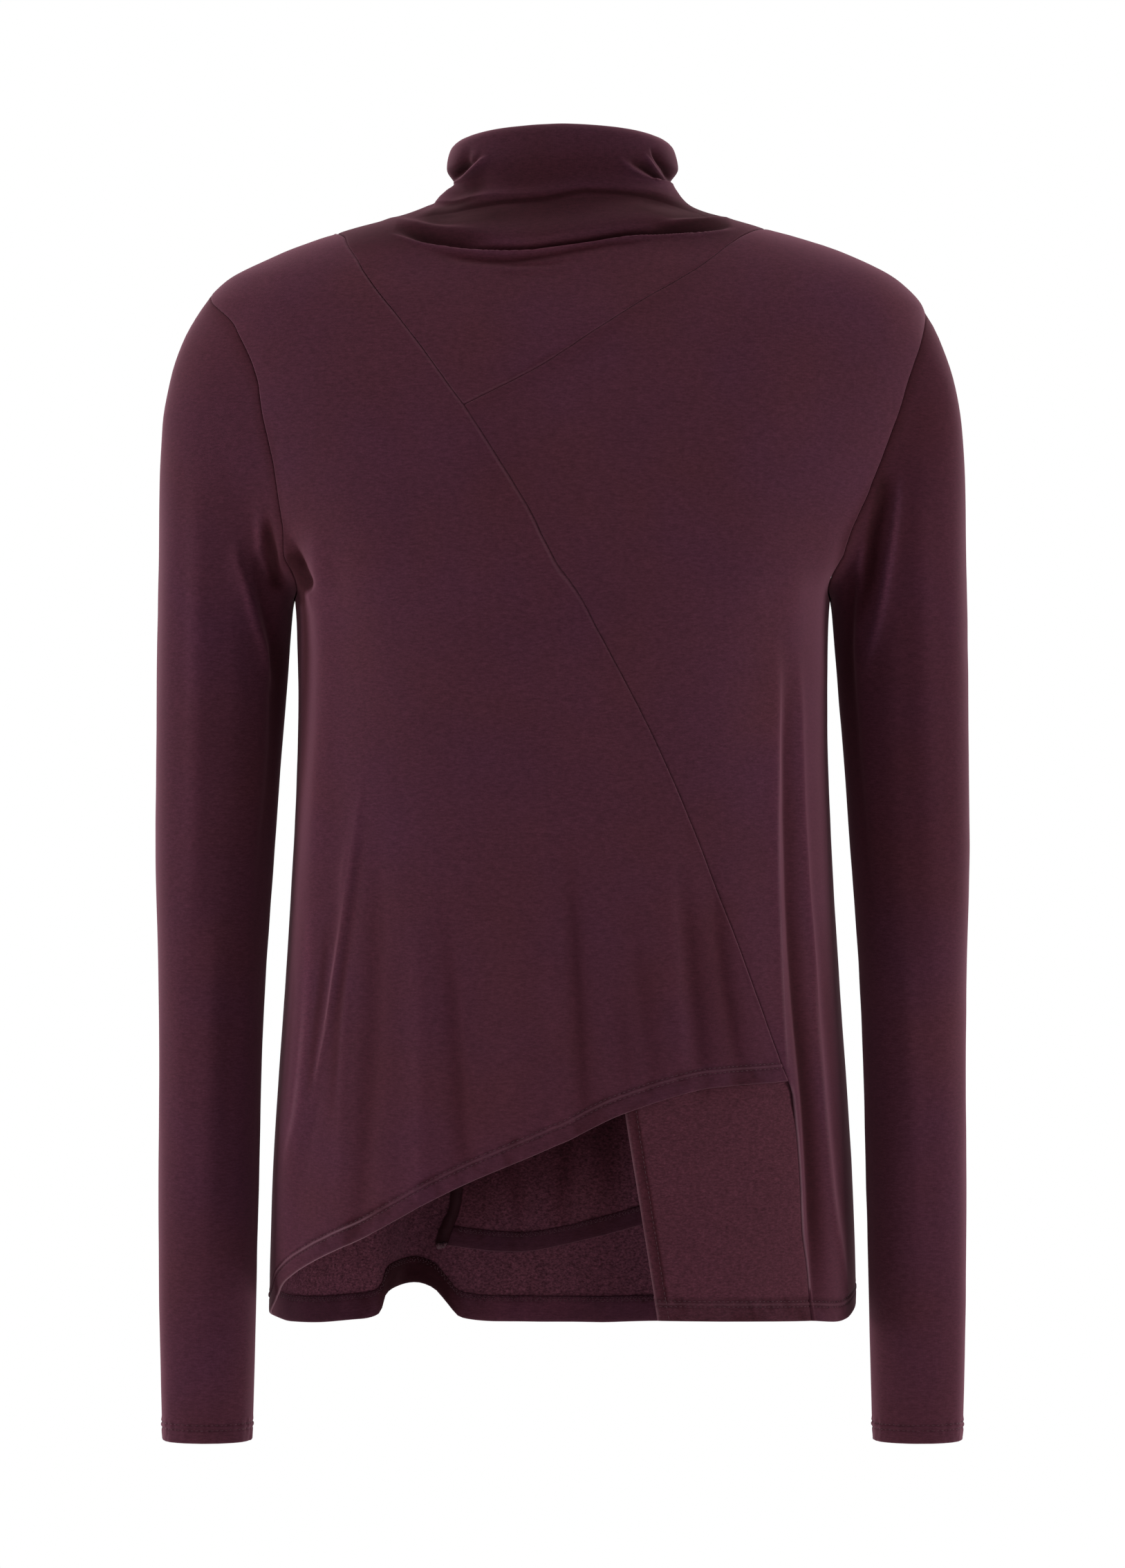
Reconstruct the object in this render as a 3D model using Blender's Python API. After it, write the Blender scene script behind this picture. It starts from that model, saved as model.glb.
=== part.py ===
# High neck jersey top, filled out as when worn: a grown-on funnel neck with a folded top,
# a front that wraps left over right along a slanting seam, a short slanting hem over a loose
# under flap, a longer back with a short inner layer, and two long set-in sleeves.
#
# Metres, +Z up, front towards -Y.  The origin is the middle of the neck base, level with the
# tops of the shoulders, where the wearer's shoulders carry the top.
#
# Every body panel lies on one smooth form, a stack of rings from hem to neck.  A place on it
# is an angle (0 front centre, +90 the +X side, 180 back centre) and a level (its height, which
# past the folded neck edge runs on down the turned-in layer).

from math import pi

import bmesh
import bpy
import numpy as np

COLLECTION = "high_neck_tshirt"

CLOTH = 0.0012           # jersey wall
SEAM_TRIM = 0.00015      # each panel stops this far short of its seam line
LAYER_STEP = 0.0019      # an under layer lies this far inside the layer over it
TUCK_STEP = 0.0012       # the flap's tucked edge lies this much deeper still
NECK_RISE = 0.0060       # the folded neck edge stands higher at front centre
NECK_RISE_POWER = 1.3    # and falls away this steeply to its sides
QUARTER = pi / 2

# Rings of the body form: level, height, half width, depth to front, depth to back, squareness
BODY_RINGS = (
    (-0.6400, -0.6400, 0.1655, 0.1110, 0.1020, 2.20),
    (-0.6060, -0.6060, 0.1652, 0.1110, 0.1010, 2.20),
    (-0.5400, -0.5400, 0.1632, 0.1110, 0.0980, 2.20),
    (-0.4600, -0.4600, 0.1582, 0.1130, 0.0915, 2.20),
    (-0.3800, -0.3800, 0.1530, 0.1160, 0.0840, 2.25),
    (-0.3200, -0.3200, 0.1500, 0.1200, 0.0815, 2.30),
    (-0.2700, -0.2700, 0.1488, 0.1260, 0.0860, 2.30),
    (-0.2350, -0.2350, 0.1495, 0.1300, 0.0920, 2.30),
    (-0.2130, -0.2130, 0.1508, 0.1295, 0.0950, 2.35),
    (-0.1900, -0.1900, 0.1720, 0.1275, 0.0970, 2.12),
    (-0.1650, -0.1650, 0.1860, 0.1235, 0.0985, 2.00),
    (-0.1300, -0.1300, 0.1990, 0.1165, 0.0990, 2.00),
    (-0.1000, -0.1000, 0.2065, 0.1090, 0.0965, 2.00),
    (-0.0720, -0.0720, 0.2090, 0.1010, 0.0915, 2.00),
    (-0.0507, -0.0507, 0.2042, 0.0930, 0.0860, 2.00),
    (-0.0351, -0.0351, 0.1906, 0.0855, 0.0805, 2.00),
    (-0.0195, -0.0195, 0.1603, 0.0775, 0.0740, 2.00),
    (-0.0078, -0.0078, 0.1264, 0.0715, 0.0690, 2.00),
    (0.0000, 0.0000, 0.0978, 0.0675, 0.0655, 2.00),
    (0.0078, 0.0078, 0.0735, 0.0635, 0.0620, 2.00),
    (0.0150, 0.0150, 0.0618, 0.0600, 0.0590, 2.00),
    (0.0200, 0.0200, 0.0607, 0.0590, 0.0580, 2.00),
    (0.0290, 0.0290, 0.0654, 0.0615, 0.0605, 2.00),
    (0.0390, 0.0390, 0.0632, 0.0600, 0.0590, 2.00),
    (0.0450, 0.0430, 0.0580, 0.0550, 0.0540, 2.00),
    (0.0500, 0.0425, 0.0530, 0.0500, 0.0490, 2.00),
    (0.0600, 0.0350, 0.0505, 0.0475, 0.0465, 2.00),
    (0.0860, 0.0090, 0.0490, 0.0460, 0.0450, 2.00),
)

# Seams and edges across the front, as x and height
WRAP_UPPER = (  # from the left shoulder down to the point of the yoke
    (-0.1300, -0.0070), (-0.1223, -0.0115), (-0.1141, -0.0260), (-0.1052, -0.0405),
    (-0.0877, -0.0635), (-0.0541, -0.1099),
)
WRAP_LOWER = (  # on from the yoke's point to the corner of the slanting hem
    (-0.0541, -0.1099), (-0.0155, -0.1725), (0.0216, -0.2386), (0.0514, -0.2960),
    (0.0891, -0.3861), (0.1240, -0.4815),
)
RIGHT_EDGE = (  # free edge of the long front panel, below that corner
    (0.1240, -0.4815), (0.1270, -0.4900), (0.1294, -0.5106), (0.1314, -0.5336),
    (0.1328, -0.5634), (0.1362, -0.5856), (0.1376, -0.6000), (0.1392, -0.6147),
)
YOKE_SEAM = (  # from the yoke's point up to the right shoulder
    (-0.0541, -0.1099), (-0.0132, -0.0891), (0.0183, -0.0681), (0.0528, -0.0458),
    (0.0918, -0.0182), (0.1021, -0.0109), (0.1100, -0.0065), (0.1200, -0.0039),
)
SLANTING_HEM = (  # from the left side seam up to the corner
    (-0.1700, -0.6160), (-0.1640, -0.6125), (-0.1612, -0.6070), (-0.1572, -0.5985),
    (-0.1500, -0.5903), (-0.1082, -0.5661), (-0.0562, -0.5379),
    (-0.0134, -0.5195), (0.0344, -0.4975), (0.0853, -0.4839), (0.1240, -0.4815),
)
RIGHT_HEM = (
    (0.1392, -0.6147), (0.1542, -0.6166), (0.1590, -0.6156), (0.1630, -0.6122),
    (0.1700, -0.6085),
)
BACK_HEM = (  # seen from the front, left side to right side, with one lifted flute
    (-0.1700, -0.6160), (-0.1630, -0.6195), (-0.1550, -0.6240), (-0.1360, -0.6262),
    (-0.1160, -0.6253), (-0.1060, -0.6222), (-0.1020, -0.6120), (-0.0960, -0.6088),
    (-0.0815, -0.6070), (-0.0745, -0.6092), (-0.0665, -0.6185), (-0.0590, -0.6265),
    (-0.0300, -0.6296), (0.0700, -0.6282), (0.1400, -0.6210), (0.1600, -0.6145),
    (0.1700, -0.6085),
)

INNER_BACK_SEAM = ((-0.0670, -0.5846), (-0.0583, -0.5521), (-0.0560, -0.4300))
INNER_BACK_HEM = (
    (0.1640, -0.5420), (0.1300, -0.5500), (0.0700, -0.5660), (0.0213, -0.5792),
    (-0.0268, -0.5890), (-0.0670, -0.5846),
)

# Armholes: level, and degrees in from the side line at the front and at the back
LEFT_ARMHOLE = (
    (-0.0400, 0.0, 0.0), (-0.0470, 13.0, 11.0), (-0.0628, 28.6, 21.0), (-0.0980, 35.3, 27.0),
    (-0.1350, 35.1, 28.0), (-0.1728, 31.3, 25.0), (-0.1990, 21.5, 18.0), (-0.2110, 10.5, 9.0),
    (-0.2150, 0.0, 0.0),
)
RIGHT_ARMHOLE = (
    (-0.0507, 0.0, 0.0), (-0.0590, 9.5, 9.5), (-0.0714, 16.3, 16.0), (-0.0979, 22.2, 23.0),
    (-0.1350, 25.2, 26.0), (-0.1728, 26.4, 25.0), (-0.1990, 20.0, 18.0), (-0.2110, 9.5, 9.0),
    (-0.2150, 0.0, 0.0),
)

UNDERARM = -0.2150
SIDE_HEM = {"left": -0.6160, "right": -0.6085}
NECK_TOP_LEVELS = (0.0120, 0.0155, 0.0190, 0.0230, 0.0275, 0.0320, 0.0365, 0.0410, 0.0450,
                   0.0500, 0.0570, 0.0700, 0.0860)

# Mesh divisions along each seam; neighbours share them
SIDE_ROWS = 9
ARM_ROWS = 9
UPPER_ROWS = 5
LOWER_ROWS = SIDE_ROWS + ARM_ROWS - UPPER_ROWS
YOKE_COLUMNS = 10
YOKE_POINT_SHARE = 0.41  # how far round the front the yoke's point stands
SHOULDER_COLUMNS = 4
NECK_LOW_ROWS = 12
LEFT_COLUMNS = 14
BACK_COLUMNS = 16
BACK_NECK_ROWS = 4
FRONT_HEM_REACH = 0.50   # share of the rows that the bends of the slanting hem run up into
BACK_HEM_REACH = 0.22    # and those of the back hem
FLAP_ROWS = 9
FLAP_COLUMNS_AT = np.array((0.0, 0.16, 0.32, 0.48, 0.60, 0.70, 0.78, 0.85, 0.90, 0.95, 1.0))

# Sleeve rings below the armhole: outer x and height, inner x and height, half depth, middle y,
# and how much of the armhole's own shape is left
SLEEVE_RINGS = (
    (0.2115, -0.0660, 0.1515, -0.2158, 0.0520, 0.0000, 0.72),
    (0.2195, -0.0880, 0.1520, -0.2190, 0.0500, 0.0000, 0.45),
    (0.2245, -0.1150, 0.1526, -0.2250, 0.0490, -0.0005, 0.24),
    (0.2264, -0.1500, 0.1537, -0.2370, 0.0485, -0.0010, 0.09),
    (0.2268, -0.1900, 0.1550, -0.2550, 0.0475, -0.0020, 0.0),
    (0.2275, -0.2350, 0.1570, -0.2830, 0.0460, -0.0040, 0.0),
    (0.2281, -0.2900, 0.1598, -0.3200, 0.0430, -0.0070, 0.0),
    (0.2284, -0.3500, 0.1632, -0.3700, 0.0395, -0.0105, 0.0),
    (0.2267, -0.4250, 0.1670, -0.4350, 0.0360, -0.0150, 0.0),
    (0.2260, -0.5100, 0.1694, -0.5150, 0.0325, -0.0200, 0.0),
    (0.2256, -0.6000, 0.1715, -0.6020, 0.0285, -0.0245, 0.0),
    (0.2242, -0.6600, 0.1732, -0.6610, 0.0265, -0.0270, 0.0),
    (0.2235, -0.6840, 0.1738, -0.6840, 0.0260, -0.0280, 0.0),
)
SLEEVE_SQUARENESS = 2.15
SLEEVE_FOLDS = (  # as the largest folds below, x measured out towards the sleeve
    ("front", 0.0090, -0.0034, ((0.163, -0.160), (0.164, -0.225), (0.169, -0.320), (0.174, -0.400))),
    ("front", 0.0080, 0.0030, ((0.201, -0.130), (0.203, -0.220), (0.206, -0.345), (0.207, -0.430))),
    ("front", 0.0090, -0.0020, ((0.189, -0.150), (0.189, -0.260), (0.193, -0.390))),
    ("back", 0.0090, -0.0030, ((0.169, -0.180), (0.177, -0.255), (0.189, -0.335))),
    ("back", 0.0090, 0.0024, ((0.196, -0.130), (0.198, -0.245), (0.201, -0.350))),
    ("back", 0.0120, -0.0026, ((0.168, -0.420), (0.194, -0.430), (0.222, -0.425))),
)
ARMHOLE_DEPTH = 0.0560   # half depth of the ring that stands for the armhole itself

# Largest folds: side, half width, height (ridge + or trough -), then the line as x and height
FOLDS = (
    ("front", 0.0050, -0.0028,
     ((-0.086, -0.003), (-0.046, 0.008), (0.018, 0.012), (0.069, 0.008))),
    ("front", 0.0050, -0.0030,
     ((-0.080, -0.014), (-0.030, -0.023), (0.024, -0.015), (0.082, -0.007))),
    ("front", 0.0060, 0.0018,
     ((-0.070, -0.006), (-0.020, -0.007), (0.030, -0.001), (0.075, 0.000))),
    ("front", 0.0055, 0.0030, ((-0.041, 0.031), (-0.056, 0.020), (-0.070, 0.006))),
    ("front", 0.0055, 0.0030, ((0.032, 0.030), (0.046, 0.021), (0.067, 0.011))),
    ("front", 0.0060, -0.0015, ((-0.060, -0.026), (-0.027, -0.032), (0.018, -0.019))),
    ("front", 0.0110, 0.0025, ((-0.130, -0.210), (-0.134, -0.379), (-0.149, -0.560))),
    ("front", 0.0080, 0.0018, ((0.1165, -0.230), (0.1190, -0.355), (0.1225, -0.441),
                               (0.1262, -0.484))),
    ("front", 0.0070, -0.0034, ((0.1250, -0.262), (0.1285, -0.380), (0.1340, -0.490),
                                (0.1368, -0.545), (0.1388, -0.600))),
    ("front", 0.0065, 0.0030, ((0.1355, -0.270), (0.1405, -0.401), (0.1450, -0.490),
                               (0.1505, -0.550), (0.1570, -0.582))),
    ("back", 0.0120, 0.0130, ((-0.085, -0.660), (-0.083, -0.600), (-0.080, -0.540))),
    ("back", 0.0140, 0.0040, ((-0.030, -0.440), (-0.020, -0.640))),
    ("back", 0.0140, -0.0040, ((0.020, -0.420), (0.028, -0.640))),
    ("back", 0.0140, 0.0040, ((0.075, -0.400), (0.080, -0.640))),
    ("back", 0.0060, -0.0028, ((-0.070, 0.002), (0.000, -0.012), (0.070, 0.002))),
)

PLUM = (0.056, 0.018, 0.026, 1.0)
INNER_PLUM = (0.042, 0.014, 0.020, 1.0)


def smooth_values(knots, values, at):
    # monotone cubic through a table's values
    knots = np.asarray(knots, float)
    values = np.asarray(values, float)
    gaps = np.diff(knots)
    slopes = np.diff(values) / gaps
    tangents = np.zeros_like(values)
    tangents[0], tangents[-1] = slopes[0], slopes[-1]
    for k in range(1, len(knots) - 1):
        if slopes[k - 1] * slopes[k] > 0:
            before = 2 * gaps[k] + gaps[k - 1]
            after = gaps[k] + 2 * gaps[k - 1]
            tangents[k] = (before + after) / (before / slopes[k - 1] + after / slopes[k])
    at = np.clip(at, knots[0], knots[-1])
    span = np.clip(np.searchsorted(knots, at) - 1, 0, len(gaps) - 1)
    t = (at - knots[span]) / gaps[span]
    return (values[span] * (1 + 2 * t) * (1 - t) ** 2
            + tangents[span] * gaps[span] * t * (1 - t) ** 2
            + values[span + 1] * t * t * (3 - 2 * t)
            + tangents[span + 1] * gaps[span] * t * t * (t - 1))


def smooth_line(points, count):
    # a curve through a short row of points, in any number of columns
    points = np.asarray(points, float)
    steps = np.linalg.norm(np.diff(points, axis=0), axis=1)
    run = np.concatenate(([0.0], np.cumsum(steps)))
    at = np.linspace(0, run[-1], count)
    return np.stack([smooth_values(run, column, at) for column in points.T], axis=1)


def smooth_step(t):
    t = np.clip(t, 0, 1)
    return t * t * (3 - 2 * t)


def ring_sizes(level):
    rings = np.array(BODY_RINGS)
    return [smooth_values(rings[:, 0], rings[:, column], level) for column in range(1, 6)]


def body_form(angle, level):
    # points of the smooth form, with no folds
    height, half_width, front, back, squareness = ring_sizes(level)
    sine, cosine = np.sin(angle), np.cos(angle)
    power = 2 / squareness
    x = half_width * np.sign(sine) * np.abs(sine) ** power
    depth = np.where(cosine > 0, front, back)
    y = -depth * np.sign(cosine) * np.abs(cosine) ** power
    lift = NECK_RISE * smooth_step((level - 0.020) / 0.020)
    z = height + lift * np.clip(cosine, 0, 1) ** NECK_RISE_POWER
    return np.stack([x, y, z], axis=-1)


def unit(vectors):
    return vectors / np.linalg.norm(vectors, axis=-1, keepdims=True)


def body_normal(angle, level):
    # outward direction of the form
    small = 1e-4
    around = body_form(angle + small, level) - body_form(angle - small, level)
    upward = body_form(angle, level + small) - body_form(angle, level - small)
    return unit(np.cross(around, upward))


def fold_height(points, facing, folds):
    # facing runs from 1 at the front to -1 at the back
    x, z = points[..., 0], points[..., 2]
    total = np.zeros_like(x)
    for side, half_width, height, line in folds:
        toward = facing if side == "front" else -facing
        path = smooth_line(line, 16)
        nearest = np.full_like(x, 1e9)
        for start, end in zip(path[:-1], path[1:]):
            run = end - start
            t = ((x - start[0]) * run[0] + (z - start[1]) * run[1]) / (run @ run)
            t = np.clip(t, 0, 1)
            away = np.hypot(x - start[0] - t * run[0], z - start[1] - t * run[1])
            nearest = np.minimum(nearest, away)
        total += height * np.exp(-(nearest / half_width) ** 2) * smooth_step(toward / 0.3)
    return total


def body_cloth(angle, level, inset=0.0):
    # outer face of a layer: the form with its folds, moved in for an under layer
    points = body_form(angle, level)
    normals = body_normal(angle, level)
    outward = fold_height(points, np.cos(angle), FOLDS) - inset
    return points + normals * outward[..., None], normals


def on_front(points):
    # x and height on the front, as angle and level
    x, z = np.array(points, float).T
    _, half_width, _, _, squareness = ring_sizes(z)
    sine = np.sign(x) * np.clip(np.abs(x) / half_width, 0, 1) ** (squareness / 2)
    return np.stack([np.arcsin(sine), z], axis=1)


def on_back(points):
    places = on_front(points)
    places[:, 0] = pi - places[:, 0]
    return places


ANGLE_SCALE = 0.1        # metres that one radian counts for, where places are spaced


def stations(places, count):
    # even steps along a seam that runs through a few places
    scaled = np.array(places, float) * (ANGLE_SCALE, 1)
    dense = smooth_line(scaled, 240) / (ANGLE_SCALE, 1)
    points = body_form(dense[:, 0], dense[:, 1])
    run = np.concatenate(([0.0], np.cumsum(np.linalg.norm(np.diff(points, axis=0), axis=1))))
    at = np.linspace(0, run[-1], count + 1)
    return np.stack([np.interp(at, run, dense[:, column]) for column in (0, 1)], axis=1)


def joined(*pieces):
    # seam stretches end to end, each shared end kept once
    return np.concatenate([pieces[0]] + [piece[1:] for piece in pieces[1:]])


def patch(left, right, bottom, top, top_fade=1.0, bottom_reach=1.0):
    # fills four edges: a grid of places [column, row]; the bend of the bottom edge fades out
    # by bottom_reach of the way up, and that of the top edge sooner with a larger top_fade
    rows = np.linspace(0, 1, len(left))[None, :, None]
    columns = np.linspace(0, 1, len(bottom))[:, None, None]
    across = (1 - columns) * left[None] + columns * right[None]
    bottom_bend = bottom[:, None] - (1 - columns) * bottom[0] - columns * bottom[-1]
    top_bend = top[:, None] - (1 - columns) * top[0] - columns * top[-1]
    left_over = np.clip(1 - rows / bottom_reach, 0, 1)
    return across + left_over * bottom_bend + rows ** top_fade * top_bend


def trim_seams(points, sewn):
    # draws each sewn edge back from its seam line, square to it
    edges = {
        "left": (points[0], points[1]), "right": (points[-1], points[-2]),
        "bottom": (points[:, 0], points[:, 1]), "top": (points[:, -1], points[:, -2]),
    }
    shifts = []
    for name in sewn:
        edge, inner = edges[name]
        along = unit(np.gradient(edge, axis=0))
        across = inner - edge
        across = across - (across * along).sum(-1, keepdims=True) * along
        shifts.append((edge, unit(across) * SEAM_TRIM))
    for edge, shift in shifts:
        edge += shift


def make_material(name, colour):
    material = bpy.data.materials.new(name)
    material.use_nodes = True
    shader = material.node_tree.nodes["Principled BSDF"]
    shader.inputs["Base Color"].default_value = colour
    shader.inputs["Roughness"].default_value = 0.85
    shader.inputs["Metallic"].default_value = 0.0
    return material


def make_wall(collection, name, outer, inner, colour, closed=False):
    # a flat grid is bent onto the outer face, then drawn through to the inner one
    columns, rows = outer.shape[0] - 1, outer.shape[1] - 1
    sheet = bmesh.new()
    column_of = sheet.verts.layers.int.new("column")
    row_of = sheet.verts.layers.int.new("row")
    bmesh.ops.create_grid(sheet, x_segments=columns, y_segments=rows, size=1.0)
    for vertex in sheet.verts:
        vertex[column_of] = round((vertex.co.x + 1) / 2 * columns)
        vertex[row_of] = round((vertex.co.y + 1) / 2 * rows)
        vertex.co = outer[vertex[column_of], vertex[row_of]]
    if closed:
        bmesh.ops.remove_doubles(sheet, verts=sheet.verts, dist=1e-6)
    drawn = bmesh.ops.extrude_face_region(sheet, geom=sheet.faces[:], use_keep_orig=True)
    for item in drawn["geom"]:
        if isinstance(item, bmesh.types.BMVert):
            item.co = inner[item[column_of], item[row_of]]
    bmesh.ops.triangulate(sheet, faces=sheet.faces[:], quad_method="SHORT_EDGE")
    bmesh.ops.recalc_face_normals(sheet, faces=sheet.faces[:])
    mesh = bpy.data.meshes.new(name)
    sheet.to_mesh(mesh)
    sheet.free()
    mesh.shade_smooth()
    mesh.materials.append(make_material(name + "_jersey", colour))
    piece = bpy.data.objects.new(name, mesh)
    collection.objects.link(piece)
    return piece


def make_panel(collection, name, places, sewn, inset=0.0, colour=PLUM):
    outer, normals = body_cloth(places[..., 0], places[..., 1], inset)
    inner = outer - normals * CLOTH
    trim_seams(outer, sewn)
    trim_seams(inner, sewn)
    return make_wall(collection, name, outer, inner, colour)


def side_line(side, start, end, count):
    # straight up the side of the form, where front meets back
    angle = np.full(count + 1, side * QUARTER)
    return np.stack([angle, np.linspace(start, end, count + 1)], axis=1)


def armhole_line(side, table, column):
    # half an armhole from the underarm up to the shoulder; column 1 front, 2 back
    table = np.array(table)[::-1]
    inward = np.radians(table[:, column])
    angle = side * (QUARTER - inward) if column == 1 else side * (QUARTER + inward)
    return stations(np.stack([angle, table[:, 0]], axis=1), ARM_ROWS)


def wrapped(places, side):
    # left-hand places count on from the back, past 180 degrees
    turned = places.copy()
    if side < 0:
        turned[:, 0] += 2 * pi
    return turned


def seam_lines():
    lines = {
        "wrap_upper": stations(on_front(WRAP_UPPER), UPPER_ROWS),
        "wrap_lower": stations(on_front(WRAP_LOWER), LOWER_ROWS),
        "right_edge": stations(on_front(RIGHT_EDGE), SIDE_ROWS + ARM_ROWS - LOWER_ROWS),
        "yoke": stations(on_front(YOKE_SEAM), YOKE_COLUMNS),
    }
    for name, side, table in (("left", -1, LEFT_ARMHOLE), ("right", 1, RIGHT_ARMHOLE)):
        lines[name + "_side"] = stations(
            ((side * QUARTER, SIDE_HEM[name]), (side * QUARTER, UNDERARM)), SIDE_ROWS)
        lines[name + "_arm_front"] = armhole_line(side, table, 1)
        lines[name + "_arm_back"] = armhole_line(side, table, 2)
        lines[name + "_shoulder_tip"] = table[0][0]
    return lines


def build_front_left(collection, lines):
    left = joined(lines["left_side"], lines["left_arm_front"])
    right = joined(lines["wrap_lower"][::-1], lines["wrap_upper"][::-1])
    bottom = stations(on_front(SLANTING_HEM), LEFT_COLUMNS)
    top = stations(((-QUARTER, lines["left_shoulder_tip"]), (-QUARTER, WRAP_UPPER[0][1])),
                   LEFT_COLUMNS)
    places = patch(left, right, bottom, top, bottom_reach=FRONT_HEM_REACH)
    make_panel(collection, "front_left", places, ("left", "right", "top"))


def build_front_right(collection, lines):
    left = joined(lines["right_edge"][::-1], lines["wrap_lower"][::-1])
    right = joined(lines["right_side"], lines["right_arm_front"])
    shoulder = stations(((QUARTER, YOKE_SEAM[-1][1]), (QUARTER, lines["right_shoulder_tip"])),
                        SHOULDER_COLUMNS)
    top = joined(lines["yoke"], shoulder)
    bottom = stations(on_front(RIGHT_HEM), YOKE_COLUMNS + SHOULDER_COLUMNS)
    make_panel(collection, "front_right", patch(left, right, bottom, top, top_fade=4.0),
               ("left", "right", "top"))


def build_neck_yoke(collection, lines):
    bottom = joined(lines["wrap_upper"], lines["yoke"])
    last = len(bottom) - 1
    share = np.interp(np.arange(last + 1), (0, UPPER_ROWS, last), (0, YOKE_POINT_SHARE, 1))
    sides = bottom[0, 1] + (bottom[-1, 1] - bottom[0, 1]) * share
    angles = -QUARTER + pi * share
    columns = []
    for row in range(NECK_LOW_ROWS):
        t = row / NECK_LOW_ROWS
        drop = (1 - t) ** 1.5            # how much of the yoke's point is still left
        level = sides + (NECK_TOP_LEVELS[0] - sides) * t + drop * (bottom[:, 1] - sides)
        angle = angles + drop * (bottom[:, 0] - angles)
        columns.append(np.stack([angle, level], axis=1))
    for level in NECK_TOP_LEVELS:
        columns.append(np.stack([angles, np.full_like(angles, level)], axis=1))
    places = np.stack(columns, axis=1)
    make_panel(collection, "neck_yoke_front", places, ("left", "right", "bottom"))


def back_edge(lines, name, side, neck_start):
    shoulder = side_line(side, lines[name + "_shoulder_tip"], neck_start, SHOULDER_COLUMNS + 1)
    neck = side_line(side, neck_start, NECK_TOP_LEVELS[0], BACK_NECK_ROWS)
    upper = np.array([(side * QUARTER, level) for level in NECK_TOP_LEVELS])
    edge = joined(lines[name + "_side"], lines[name + "_arm_back"], shoulder, neck, upper)
    return wrapped(edge, side)


def back_columns():
    return np.linspace(QUARTER, 3 * QUARTER, BACK_COLUMNS + 1)


def build_back(collection, lines):
    right = back_edge(lines, "left", -1, WRAP_UPPER[0][1])
    left = back_edge(lines, "right", 1, YOKE_SEAM[-1][1])
    hem = on_back(BACK_HEM)[::-1]
    dense = smooth_line(hem * (ANGLE_SCALE, 1), 400) / (ANGLE_SCALE, 1)
    angles = back_columns()
    bottom = np.stack([angles, np.interp(angles, dense[:, 0], dense[:, 1])], axis=1)
    top = np.stack([angles, np.full_like(angles, NECK_TOP_LEVELS[-1])], axis=1)
    places = patch(left, right, bottom, top, bottom_reach=BACK_HEM_REACH)
    make_panel(collection, "back", places, ("left", "right"))


def build_under_flap(collection):
    # loose flap behind the slanting hem, its right edge tucked under the long front panel
    left = stations(on_front(((0.0526, -0.6113), (0.0440, -0.5567), (0.0344, -0.4975),
                              (0.0270, -0.4450))), FLAP_ROWS)
    right = stations(on_front(((0.1436, -0.6150), (0.1384, -0.5667), (0.1350, -0.5200),
                               (0.1290, -0.4830), (0.1180, -0.4450))), FLAP_ROWS)
    share = FLAP_COLUMNS_AT[:, None]
    bottom = left[0] + (right[0] - left[0]) * share
    top = left[-1] + (right[-1] - left[-1]) * share
    deeper = TUCK_STEP * smooth_step((share - 0.6) / 0.4)
    make_panel(collection, "front_underlap", patch(left, right, bottom, top), (),
               inset=LAYER_STEP + deeper)


def build_inner_back(collection):
    # short layer inside the back, from a seam left of centre to the right side seam; its
    # columns follow the back's own
    start, rows = np.radians(92.5), 6
    levels = np.linspace(0, 1, rows + 1)
    seam = smooth_line(on_back(INNER_BACK_SEAM), rows + 1)
    hem = smooth_line(on_back(INNER_BACK_HEM) * (ANGLE_SCALE, 1), 120) / (ANGLE_SCALE, 1)
    columns = back_columns()
    inside = columns[(columns > start) & (columns < seam[:, 0].min() - 0.02)]
    angles = np.concatenate(([start], inside))
    bottoms = np.interp(angles, hem[:, 0], hem[:, 1])
    places = [np.stack([np.full(rows + 1, angle), bottom + (seam[-1, 1] - bottom) * levels],
                       axis=1) for angle, bottom in zip(angles, bottoms)]
    make_panel(collection, "back_inner", np.array(places + [seam]), (), inset=LAYER_STEP,
               colour=INNER_PLUM)


def sleeve_ring(outer, inner, half_depth, middle_y, side, count):
    # a ring from the outer point round by the front, the inner point and the back
    turn = np.linspace(0, 2 * pi, count + 1)[:, None]
    power = 2 / SLEEVE_SQUARENESS
    cosine = np.sign(np.cos(turn)) * np.abs(np.cos(turn)) ** power
    sine = np.sign(np.sin(turn)) * np.abs(np.sin(turn)) ** power
    outer = np.array((outer[0] * side, middle_y, outer[1]))
    inner = np.array((inner[0] * side, middle_y, inner[1]))
    return (outer + inner) / 2 + cosine * (outer - inner) / 2 - sine * (0, half_depth, 0)


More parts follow.
